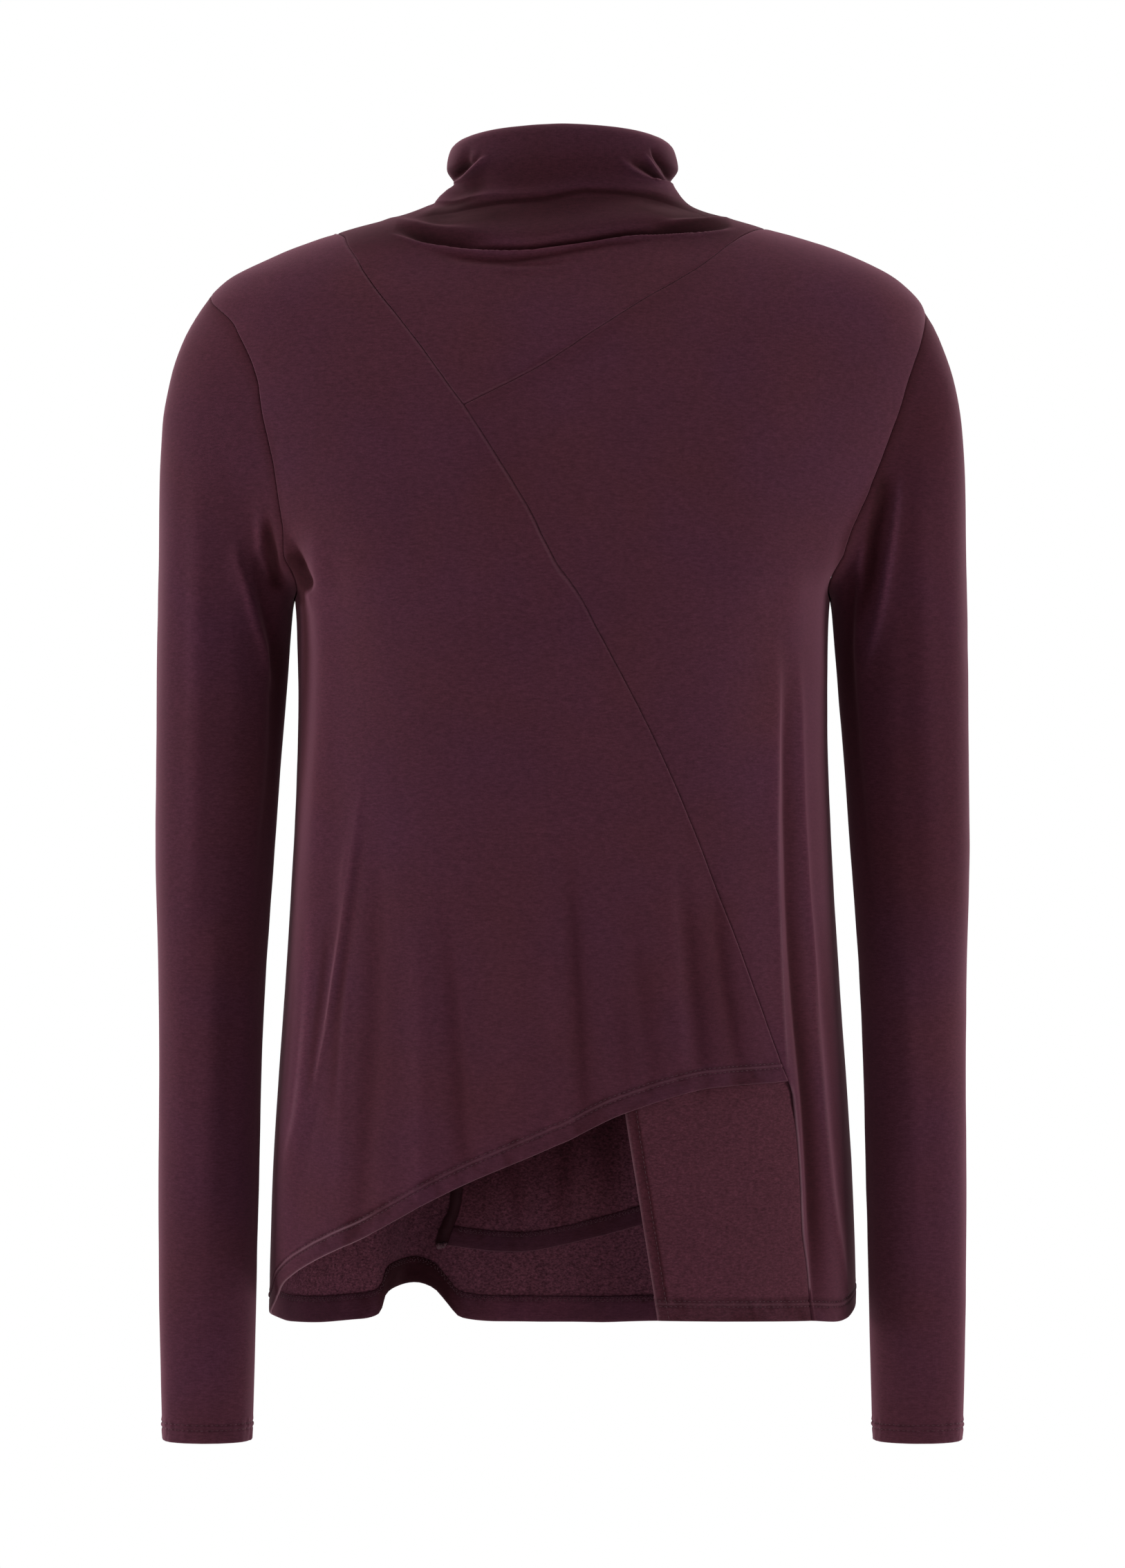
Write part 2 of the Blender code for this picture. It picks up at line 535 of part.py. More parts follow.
def build_sleeve(collection, lines, name, side):
    front = lines[name + "_arm_front"][::-1]
    back = lines[name + "_arm_back"]
    places = joined(front, back)
    armhole, body_out = body_cloth(places[:, 0], places[:, 1])
    count = len(places) - 1
    top, low = armhole[0], armhole[count // 2]
    stand_in = sleeve_ring((top[0] * side, top[2]), (low[0] * side, low[2]), ARMHOLE_DEPTH,
                            0.0, side, count)
    rings = [armhole]
    for outer_x, outer_z, inner_x, inner_z, half_depth, middle_y, kept in SLEEVE_RINGS:
        ring = sleeve_ring((outer_x, outer_z), (inner_x, inner_z), half_depth, middle_y,
                            side, count)
        rings.append(ring + kept * (armhole - stand_in))
    outer = np.stack(rings, axis=1)
    around = np.roll(outer[:-1], -1, axis=0) - np.roll(outer[:-1], 1, axis=0)
    around = np.concatenate([around, around[:1]])
    outward = unit(np.cross(np.gradient(outer, axis=1), around)) * -side
    turn = np.linspace(0, 2 * pi, count + 1)
    own = smooth_step((-np.cos(turn) - 0.60) / 0.25)[:, None]   # 1 round the underarm
    outward[:, 0] = unit(outward[:, 0] * own + body_out * (1 - own))
    fade = smooth_step(np.arange(outer.shape[1]) / 3.0)         # none at the armhole
    folds = fold_height(outer * (side, 1, 1), -outward[..., 1], SLEEVE_FOLDS)
    outer += outward * (folds * fade)[..., None]
    down = unit(outer[:, 1] - outer[:, 0])
    outer[:, 0] += down * SEAM_TRIM + own * (side * 2 * SEAM_TRIM, 0, 0)
    make_wall(collection, "sleeve_" + name, outer, outer - outward * CLOTH, PLUM, closed=True)


def build_top():
    for old in list(bpy.data.objects):
        bpy.data.objects.remove(old, do_unlink=True)
    collection = bpy.data.collections.new(COLLECTION)
    bpy.context.scene.collection.children.link(collection)
    lines = seam_lines()
    build_front_left(collection, lines)
    build_front_right(collection, lines)
    build_neck_yoke(collection, lines)
    build_back(collection, lines)
    build_under_flap(collection)
    build_inner_back(collection)
    build_sleeve(collection, lines, "left", -1)
    build_sleeve(collection, lines, "right", 1)


build_top()
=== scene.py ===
import math

import bmesh
import bpy
import numpy as np
from mathutils import Matrix, Vector


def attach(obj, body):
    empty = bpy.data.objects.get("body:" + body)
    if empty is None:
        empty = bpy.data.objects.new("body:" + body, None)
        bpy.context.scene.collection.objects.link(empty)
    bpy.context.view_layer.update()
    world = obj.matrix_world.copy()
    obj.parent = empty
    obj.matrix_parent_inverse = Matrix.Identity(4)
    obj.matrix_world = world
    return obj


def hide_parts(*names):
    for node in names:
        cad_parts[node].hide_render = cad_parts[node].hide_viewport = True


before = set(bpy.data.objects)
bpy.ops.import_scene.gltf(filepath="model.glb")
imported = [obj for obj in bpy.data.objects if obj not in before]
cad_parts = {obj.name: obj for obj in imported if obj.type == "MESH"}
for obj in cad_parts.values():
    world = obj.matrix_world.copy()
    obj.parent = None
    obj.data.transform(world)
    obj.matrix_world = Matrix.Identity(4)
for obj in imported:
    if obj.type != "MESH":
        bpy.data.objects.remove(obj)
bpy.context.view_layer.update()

# A high neck jersey top, worn shape, with no wearer. Metres, front towards -Y.
# The body is one smooth form, a stack of rings. A place on it is an angle (0 front centre,
# +90 degrees the +X side) and a level (its height, running on over the folded neck edge).

quarter = math.pi / 2
scene = bpy.context.scene


def smoothStep(t):
    t = np.clip(t, 0, 1)
    return t * t * (3 - 2 * t)


def unit(vectors):
    return vectors / np.maximum(np.linalg.norm(vectors, axis=-1, keepdims=True), 1e-12)


def bell(value, middle, width, power=2):
    # 1 in the middle and fading to both sides
    return np.exp(-((value - middle) / width) ** power)


def runAlong(points):
    # how far each point lies along its row
    steps = np.linalg.norm(np.diff(points, axis=0), axis=-1)
    return np.concatenate([steps[:1] * 0, np.cumsum(steps, axis=0)])


def readColumns(at, run, table):
    return np.stack([np.interp(at, run, column) for column in table.T], axis=-1)


def smoothValues(knots, values, at):
    # monotone cubic through a short table of numbers, or of rows of numbers
    knots, values = np.asarray(knots, float), np.asarray(values, float)
    if values.ndim == 1:
        return smoothValues(knots, values[:, None], at)[..., 0]
    gaps = np.diff(knots)[:, None]
    slopes = np.diff(values, axis=0) / gaps
    tangents = np.zeros_like(values)
    tangents[0], tangents[-1] = slopes[0], slopes[-1]
    before = 2 * gaps[1:] + gaps[:-1]
    after = gaps[1:] + 2 * gaps[:-1]
    same = slopes[:-1] * slopes[1:] > 0
    first = np.where(same, slopes[:-1], 1.0)
    second = np.where(same, slopes[1:], 1.0)
    tangents[1:-1] = np.where(same, (before + after) / (before / first + after / second), 0)
    at = np.clip(at, knots[0], knots[-1])
    span = np.clip(np.searchsorted(knots, at) - 1, 0, len(gaps) - 1)
    t = ((at - knots[span]) / gaps[span, 0])[..., None]
    gap = gaps[span]
    return (values[span] * (1 + 2 * t) * (1 - t) ** 2
            + tangents[span] * gap * t * (1 - t) ** 2
            + values[span + 1] * t * t * (3 - 2 * t)
            + tangents[span + 1] * gap * t * t * (t - 1))


def smoothLine(points, count):
    # a curve through a short row of points, spaced by its first two columns
    points = np.asarray(points, float)
    run = runAlong(points[:, :2])
    return smoothValues(run, points, np.linspace(0, run[-1], count))


def softNoise(a, b, seed):
    # smooth uneven numbers from -1 to 1, one lump to a unit
    wide, high = 61, 67
    lattice = np.random.RandomState(seed).uniform(-1, 1, (wide, high))
    i, j = np.floor(a).astype(int), np.floor(b).astype(int)
    s, t = smoothStep(a - i), smoothStep(b - j)

    def row(k):
        return lattice[i % wide, k % high] * (1 - s) + lattice[(i + 1) % wide, k % high] * s

    return row(j) * (1 - t) + row(j + 1) * t


def foldRows(*rows, heights=1000):
    # rows given in millimetres, turned to metres
    return [(row[0] / heights, row[1] / 1000, row[2] / 1000,
             [(x / 1000, z / 1000, strength) for x, z, strength in row[3]], *row[4:])
            for row in rows]


def shadeRows(*rows):
    return foldRows(*rows, heights=1)


# Rings of the body, in millimetres: level, height, half width, depth to front, depth to back;
# and squareness
bodyRings = np.array((
    (-640, -640, 165.5, 111, 102, 2.2),
    (-606, -606, 165.2, 111, 101, 2.2),
    (-540, -540, 163.2, 111, 98, 2.2),
    (-460, -460, 158.2, 113, 91.5, 2.2),
    (-380, -380, 153, 116, 84, 2.25),
    (-320, -320, 150, 120, 81.5, 2.3),
    (-270, -270, 148.8, 126, 86, 2.3),
    (-235, -235, 149.5, 130, 92, 2.3),
    (-213, -213, 150.8, 129.5, 95, 2.35),
    (-190, -190, 172, 127.5, 97, 2.12),
    (-165, -165, 186, 123.5, 98.5, 2),
    (-130, -130, 199, 116.5, 99, 2),
    (-100, -100, 206.5, 109, 96.5, 2),
    (-72, -72, 209, 101, 91.5, 2),
    (-50.7, -50.7, 204.2, 93, 86, 2),
    (-35.1, -35.1, 190.6, 85.5, 80.5, 2),
    (-19.5, -19.5, 160.3, 77.5, 74, 2),
    (-7.8, -7.8, 126.4, 71.5, 69, 2),
    (0, 0, 97.8, 67.5, 65.5, 2),
    (7.8, 7.8, 73.5, 63.5, 62, 2),
    (15, 15, 65.2, 60.3, 59.3, 2),
    (20, 20, 60.7, 59, 58, 2),
    (29, 29, 65.4, 61.5, 60.5, 2),
    (39, 39, 63.2, 60, 59, 2),
    (45, 43, 58, 55, 54, 2),
    (50, 42.5, 53, 50, 49, 2),
    (60, 35, 50.5, 47.5, 46.5, 2),
    (86, 9, 49, 46, 45, 2),
)) / (1000, 1000, 1000, 1000, 1000, 1)

cloth = {
    "wall": 0.0006,             # one thickness of jersey
    "neckRise": 0.0060,         # the folded neck edge stands higher at front centre
    "neckRisePower": 1.3,
    "frontHemReach": 0.50,      # how far up the panels the bends of their hems run
    "backHemReach": 0.22,
    "seamSteps": (0.00004, 0.0004, 0.0008, 0.0013, 0.0021, 0.0033),   # rows in from a sewn edge
    "freeSteps": (0.0, 0.0006, 0.0014, 0.0026),               # rows in from a free edge
    "seamDip": 0.00055,         # how far the cloth turns in at a seam
    "seamReach": 0.00055,
    "seamValley": 0.00022,      # the soft pull along a seam
    "valleyReach": 0.0045, "gather": 1.3, "gatherStep": 0.0075,
    "seamRidge": 0.00028,       # the pressed edge that stands up beside some seams
    "ridgeAt": 0.0013, "ridgeWidth": 0.0007,
    "seamLine": 0.00042,        # half width of the dark of a seam
    "hemRoll": 0.0007,          # radius of a turned hem
    "layerStep": 0.0019,        # an under layer lies this far inside
    "tuckStep": 0.0013,         # and comes back out by this where it is tucked under an edge
    "sideHem": {"left": -0.6160, "right": -0.6085},     # levels at the side seams
    "underarm": -0.2150,
}


def bodyForm(angle, level):
    height, halfWidth, front, back, squareness = np.moveaxis(
        smoothValues(bodyRings[:, 0], bodyRings[:, 1:], level), -1, 0)
    sine, cosine = np.sin(angle), np.cos(angle)
    power = 2 / squareness
    x = halfWidth * np.sign(sine) * np.abs(sine) ** power
    depth = np.where(cosine > 0, front, back)
    y = -depth * np.sign(cosine) * np.abs(cosine) ** power
    lift = cloth["neckRise"] * smoothStep((level - 0.020) / 0.020)
    rise = lift * np.clip(cosine, 0, 1) ** cloth["neckRisePower"]
    return np.stack([x, y, height + rise], axis=-1)


def bodyNormal(angle, level):
    small = 2e-4
    around = bodyForm(angle + small, level) - bodyForm(angle - small, level)
    upward = bodyForm(angle, level + small) - bodyForm(angle, level - small)
    return unit(np.cross(around, upward))


# Folds in millimetres: height (ridge + or trough -), width left and right of the way it
# runs, then x, height up and strength along it, and for a crisp crease how sharp it is.
frontFolds = foldRows(
    # neck: the crease under the folded collar, with the edge that hangs over it
    (1.4, 3.6, 1, ((-86.6, -0.6, 0), (-78.8, 3.7, 0.5), (-70.9, 7.8, 0.9), (-60.4, 8.8, 1),
        (-50.3, 10.1, 1), (-40, 10.1, 0.9), (-24.9, 9.6, 0.6), (0, 11.9, 0.6), (11.9, 14.2, 0.5),
        (26.1, 14.2, 0.5), (42.1, 13.5, 0.5), (53.4, 12.2, 0.4), (64.8, 10.4, 0)), 1.6),
    (-2.6, 1, 8.5, ((-82.3, -3.2, 0), (-74.3, -0.6, 0.3), (-62.2, 3, 0.5), (-50.2, 5.5, 0.8),
        (-40, 6.3, 1), (-29.9, 6.8, 1), (-17.9, 7.1, 1), (-6, 8.3, 1), (3.9, 10.4, 0.9),
        (14.1, 11.9, 0.8), (25.9, 11.7, 0.8), (38.2, 11.2, 0.9), (48.3, 10.1, 0.8),
        (58.3, 8.3, 0.6), (68.5, 5.3, 0.4), (76.6, 2.4, 0.1)), 1.2),
    (-1.3, 4.2, 8, ((-80.4, -3.2, 0), (-66, -2.4, 1), (-54, 0.9, 1), (-44, 3.2, 0.5),
        (-36.1, 4.8, 0))),
    (-1.2, 4.5, 8, ((44.1, 7.3, 0), (55.1, 5.5, 0.8), (66.4, 3, 1), (76.6, 1.4, 1),
        (87.8, 0.7, 0.3))),
    # the roll that hangs below it
    (2.6, 8.5, 4.6, ((-71.9, -10.1, 0), (-49.9, -13.4, 0.8), (-25, -14.7, 1), (0, -12.4, 1),
        (24.8, -8.1, 1), (50.1, -4.5, 0.8), (72.2, -3.2, 0))),
    (1.8, 2.2, 2.8, ((-98.5, -0.4, 0.2), (-86.1, -5.5, 0.8), (-75.2, -8.1, 1), (-63.8, -10.1, 0.8),
        (-51.9, -11.6, 0.3), (-42, -12.7, 0))),
    (1.8, 1.6, 1.8, ((51.9, -7.8, 0), (61, -6, 0.6), (70.2, -4.2, 1), (80.4, -2.4, 1),
        (91.8, -0.6, 0.4))),
    # the lower crease and the pockets at its ends
    (-4.5, 4.4, 2.2, ((-93.3, -9.3, 0), (-83.8, -12.9, 0.7), (-75.9, -15.7, 1), (-66, -17.8, 1),
        (-55.8, -19.1, 0.9), (-45.9, -20.1, 0.4), (-37.7, -21.4, 0)), 1.6),
    (-5, 3, 1.4, ((47.9, -12.1, 0), (56.8, -11.1, 0.6), (65.9, -10.1, 1), (76.2, -8.8, 1),
        (86.2, -7.3, 0.7), (94.3, -6, 0)), 1.6),
    (1.8, 3, 0.7, ((-47.9, -19.1, 0), (-35.7, -20.1, 0.8), (-24, -20.3, 1), (-11.9, -19.8, 1),
        (0, -18, 1), (11.9, -16, 1), (24, -13.9, 1), (36.1, -11.9, 0.8), (48, -10.6, 0.4),
        (57.9, -9.6, 0)), 1.6),
    (-3.8, 1.2, 0.8, ((-63.8, -20.1, 0), (-50, -21.1, 0.6), (-40, -21.6, 0.9), (-29.7, -22.4, 1),
        (-19.6, -22.4, 1), (-12.2, -21.6, 1), (-4.2, -20.3, 1), (4.2, -19.3, 1), (11.6, -18, 1),
        (19.9, -16.5, 1), (27.7, -15, 1), (35.6, -13.7, 0.9), (44, -12.9, 0.9), (51.9, -12.7, 0.9),
        (61.8, -11.6, 0.7), (71.8, -10.4, 0.3), (80, -9.6, 0)), 1.15),
    # the thin edge under the crease and the echoes below it
    (1.8, 0.6, 1.4, ((-96.4, -11.9, 0), (-85.9, -15.7, 0.6), (-76, -19.1, 0.9), (-66, -20.3, 1),
        (-55.6, -21.4, 0.9), (-43.5, -22.9, 0.9), (-31.7, -23.7, 1), (-19.9, -23.4, 1),
        (-10.3, -22.9, 1), (0, -21.4, 1), (9.8, -19.6, 1), (19.8, -18, 1), (29.8, -16.5, 1),
        (39.9, -15.2, 1), (49.7, -14.5, 0.9), (60, -13.7, 0.9), (71.8, -12.9, 0.9),
        (83.9, -11.1, 0.7), (97.4, -8.3, 0)), 1.6),
    (-1.9, 0.7, 3, ((-75.7, -22.9, 0), (-60, -25.2, 0.4), (-45.7, -26.7, 0.6), (-31.7, -27.5, 0.8),
        (-20, -27, 1), (-9.9, -25.7, 1), (-2.2, -24.2, 1), (8, -22.1, 1), (17.6, -20.1, 0.9),
        (28, -18.3, 0.7), (37.8, -17.8, 0.5), (48.9, -17, 0)), 1.3),
    (-1.3, 2.6, 3.2, ((-71.9, -25.2, 0), (-51.6, -28, 0.9), (-36, -28.8, 1), (-19.6, -28.3, 0.5),
        (-7.7, -26.7, 0))),
    (-0.7, 1.2, 2, ((-35.9, -30.6, 0), (-21.8, -31.6, 1), (-9.7, -31.4, 1), (2.4, -29.6, 0.5),
        (14, -27.5, 0))),
    (-0.6, 1.5, 2.2, ((-41.3, -35.4, 0), (-23.5, -36.7, 1), (-7.5, -36.5, 0.7), (8.3, -34.7, 0))),
    # pulls at the ends of the folded collar, each with a dark pocket beyond it
    (3.8, 3.4, 1.1, ((-40.2, 32.4, 0), (-44.2, 30.2, 0.5), (-48.3, 27.4, 0.9), (-52.4, 24.8, 1),
        (-56.6, 22.2, 1), (-60.8, 20.9, 1), (-64.6, 16.5, 1), (-67.4, 11.9, 0.8),
        (-69.7, 8.8, 0.3)), 1.4),
    (-4.8, 1, 3.4, ((-47.2, 31.3, 0), (-51.3, 27.9, 0.5), (-54.9, 25.4, 0.9), (-58.8, 23.3, 1),
        (-61.5, 22.4, 0.8), (-64.1, 19.9, 0.3)), 1.3),
    (-2.8, 2.8, 2.8, ((-50.8, 38.8, 0), (-53.9, 33.5, 0.6), (-55.9, 29, 1), (-58.1, 25, 1),
        (-60.3, 23, 0.5))),
    (-2.2, 8, 5, ((-39, 25.7, 0), (-44.8, 21.4, 0.7), (-50.4, 17, 1), (-55.5, 13.2, 1),
        (-61.1, 9.4, 1), (-67, 5, 0.6), (-72, 1.5, 0))),
    (-1, 1.5, 1.5, ((-44.1, 33.6, 0), (-48.2, 31, 1), (-51.5, 27.3, 0))),
    (3.4, 1, 3.2, ((29.9, 30.9, 0), (34.7, 27.7, 0.5), (38.6, 25, 0.8), (43.2, 22.9, 1),
        (48.3, 20.9, 1), (53.5, 19.3, 1), (58.8, 18.1, 1), (63, 16.8, 0.7),
        (66.9, 12.9, 0.2)), 1.3),
    (-5, 2.6, 0.9, ((36.6, 29, 0), (41.2, 26.3, 0.5), (45.2, 24.3, 0.9), (49.3, 22.5, 1),
        (53.5, 21.2, 1), (57.7, 20.1, 0.8), (60.7, 19.9, 0.2)), 1.4),
    (2.8, 1, 1.6, ((44.7, 34.2, 0), (47.6, 30.7, 0.5), (50.3, 27.3, 0.9), (53.4, 24.5, 1),
        (56.6, 22, 1), (59.9, 20.1, 0.6), (60.7, 19.1, 0)), 1.4),
    (-3.8, 2.6, 1, ((48.8, 37.6, 0), (51.8, 32.7, 0.7), (54.7, 28.7, 1), (57.4, 25.6, 1),
        (60, 22.7, 0.7), (61.1, 21.7, 0.2)), 1.4),
    # bust level and the soft valley beside the wrap seam
    (-3.4, 20, 20, ((-46, -108, 0.2), (-30, -150, 1), (-12, -192, 0.8), (6, -240, 0))),
    (3, 26, 26, ((-118, -150, 0.2), (-112, -196, 1), (-120, -250, 0))),
    (2.6, 24, 24, ((108, -150, 0.2), (108, -200, 1), (112, -250, 0))),
    # the short deep fold that runs into the left underarm, and soft drags beside it
    (-5, 5, 2.2, ((-151.6, -181.6, 0), (-148.4, -190.6, 0.6), (-145.2, -199.8, 1),
        (-140.7, -206, 1), (-136, -210.6, 0.1)), 1.5),
    (1.8, 2.6, 6, ((-149.1, -202.1, 0.2), (-143.8, -204.4, 0.8), (-137.7, -211.6, 0.8),
        (-135, -223.6, 0)), 1.5),
    (3, 7, 6, ((-137, -170, 0), (-132.5, -199, 1), (-132, -250, 0.9), (-133, -310, 0.8),
        (-135, -370, 0.2))),
    (-2, 7, 5, ((-156.6, -164.5, 0), (-150.5, -189.3, 1), (-150.2, -213.1, 0.8),
        (-148.7, -258.7, 0))),
    (-1.6, 5, 7, ((163.9, -164, 0), (157, -189.1, 1), (153.1, -212.9, 0.8), (148.8, -253.6, 0))),
    (1.8, 9, 9, ((127.7, -185.5, 0), (126.4, -214.9, 1), (126.2, -260, 0.4), (127.2, -300, 0))),
    # flutes of the left front
    (3.2, 7.5, 11, ((-134, -280, 0.1), (-136.5, -350, 0.9), (-139.5, -400, 1), (-143.5, -450, 1),
        (-148, -495, 1), (-153, -540, 0.9), (-158, -590, 0.7))),
    (2.4, 1.3, 3.8, ((-109, -310, 0), (-112.5, -340, 0.6), (-116, -368, 0.9), (-121, -400, 1),
        (-126, -430, 1), (-131, -458, 0.9), (-137, -490, 0.5), (-146, -530, 0)), 1.3),
    (-1, 3.6, 1.8, ((-107, -330, 0), (-114, -375, 0.9), (-118.5, -405, 1), (-123, -432, 1),
        (-127, -460, 0.6), (-131, -495, 0))),
    (-1.3, 3.4, 5, ((-118.5, -330, 0), (-125.5, -400, 0.9), (-132.5, -455, 1), (-139, -500, 0.7),
        (-146, -550, 0))),
    (1.2, 2.4, 2.8, ((-117.5, -345, 0), (-120.5, -365, 1), (-124, -390, 0)), 1.5),
    (1.2, 2.4, 4, ((-117, -400, 0), (-119.5, -450, 1), (-121.5, -500, 0.8),
        (-123, -550, 0.3)), 1.6),
    (-2.6, 7, 6, ((-101, -330, 0), (-103, -420, 0.9), (-107, -500, 1), (-112, -570, 0.7))),
    (2.1, 5, 8, ((-78, -380, 0), (-77.5, -440, 0.9), (-76.5, -520, 1), (-78, -556, 0.8)), 1.6),
    (-2.1, 5, 7, ((-64, -370, 0), (-60, -440, 0.9), (-55, -500, 1), (-52, -545, 0.6)), 1.7),
    (1.2, 9, 9, ((-30, -360, 0), (-28, -440, 1), (-24, -530, 0.8))),
    (-2.1, 4, 7, ((4, -340, 0), (7, -400, 1), (11, -470, 1), (14, -525, 0.5)), 1.7),
    (1.5, 5, 6, ((-7, -350, 0), (-4, -420, 1), (0, -510, 0.6)), 1.7),
    (-1.4, 4.5, 6, ((36, -370, 0), (42, -425, 1), (50, -490, 0.5)), 1.7),
    (-2.1, 5, 7, ((64, -355, 0), (68.5, -405, 0.8), (73.5, -450, 1), (78, -484, 0.6)), 1.8),
    (1.5, 4.5, 4.5, ((57, -340, 0), (60, -400, 1), (65, -470, 0.7)), 1.7),
    (-2.7, 4, 6, ((82, -360, 0), (87, -410, 1), (94, -455, 0.9), (99, -480, 0.4)), 1.6),
    # the long right front: the ridge that runs down into its free edge, the deep trough
    # beside it and the sharper ridge out towards the side
    (1.6, 3, 8, ((116, -225, 0), (116.5, -270, 0.8), (116, -330, 0.8), (117, -390, 0))),
    (1.5, 2, 3.4, ((118.5, -240, 0), (118.2, -280, 0.8), (117.8, -330, 1), (118.5, -365, 1),
        (120, -400, 1), (121.5, -440, 1), (123.8, -474, 0.9), (126.2, -490, 0.4)), 1.4),
    (-4.4, 4.6, 4, ((124, -245, 0), (124.8, -300, 0.8), (125.8, -350, 1), (127.5, -400, 1),
        (131.5, -450, 1), (136, -500, 1), (138.5, -545, 1), (140, -585, 0.7),
        (140.5, -612, 0.3)), 1.7),
    (2, 2.4, 2, ((129, -240, 0), (131.2, -280, 0.8), (132.5, -325, 1), (135, -370, 1),
        (139, -420, 1), (141.8, -460, 1), (145, -500, 1), (148.8, -540, 0.9), (152.8, -568, 0.7),
        (159, -600, 0.2)), 1.4),
    # faint slants over the chest and across the waist
    (-0.8, 14, 14, ((-98, -60, 0), (-88, -120, 1), (-70, -165, 0))),
    (0.9, 16, 16, ((120, -70, 0), (104, -125, 1), (82, -170, 0))),
    (-0.9, 15, 12, ((-50, -235, 0), (-10, -290, 1), (20, -350, 0))),
)

backFolds = foldRows(
    # the back of the neck
    (-2.8, 3, 5, ((-78, 0, 0.2), (-40, -8, 1), (10, -10.5, 0.9), (50, -6, 1), (80, 1, 0.2))),
    (1.6, 5, 5, ((-70, 6, 0.2), (-30, 0, 1), (35, -1, 0.9), (72, 7, 0.2))),
    (-1.3, 3, 5, ((-55, 13, 0), (-18, 10.5, 1), (22, 12.5, 0.8), (50, 16, 0))),
    (-1, 3.5, 6, ((-60, -20, 0), (-10, -28, 1), (45, -22, 0))),
    # drag lines from the armholes towards the middle
    (-2.6, 8, 10, ((-158, -165, 0.2), (-144, -200, 1), (-118, -248, 0.4), (-96, -285, 0))),
    (1.8, 9, 9, ((-140, -170, 0), (-118, -215, 1), (-88, -262, 0))),
    (-2.4, 9, 8, ((156, -160, 0.2), (145, -205, 1), (124, -255, 0.5), (104, -300, 0))),
    (1.6, 9, 9, ((138, -160, 0), (122, -212, 1), (100, -262, 0))),
    # the hollow of the back and soft cross folds above the seat
    (-3, 30, 30, ((4, -110, 0), (0, -230, 1), (2, -350, 0.6), (4, -420, 0))),
    (-1.4, 6, 11, ((-110, -318, 0), (-50, -334, 1), (12, -340, 0.4), (40, -338, 0))),
    (-1.2, 6, 11, ((0, -300, 0), (52, -306, 1), (116, -292, 0))),
    # flutes of the hem; the largest is lifted outwards
    (13, 12, 12, ((-86.5, -660, 1), (-83, -600, 1), (-80, -540, 0.9), (-78, -470, 0.25),
        (-76, -400, 0))),
    (-3, 8, 8, ((-113, -650, 1), (-108, -540, 0.8), (-102, -430, 0))),
    (4.2, 13, 15, ((-32, -650, 1), (-27, -540, 0.9), (-22, -440, 0.3), (-20, -380, 0))),
    (-4.2, 14, 13, ((26, -650, 1), (22, -540, 0.9), (18, -420, 0.2), (16, -370, 0))),
    (4.2, 14, 13, ((82, -650, 1), (78, -540, 0.9), (73, -420, 0.3), (70, -360, 0))),
    (-2.6, 8, 10, ((122, -650, 1), (118, -540, 0.9), (112, -430, 0))),
)
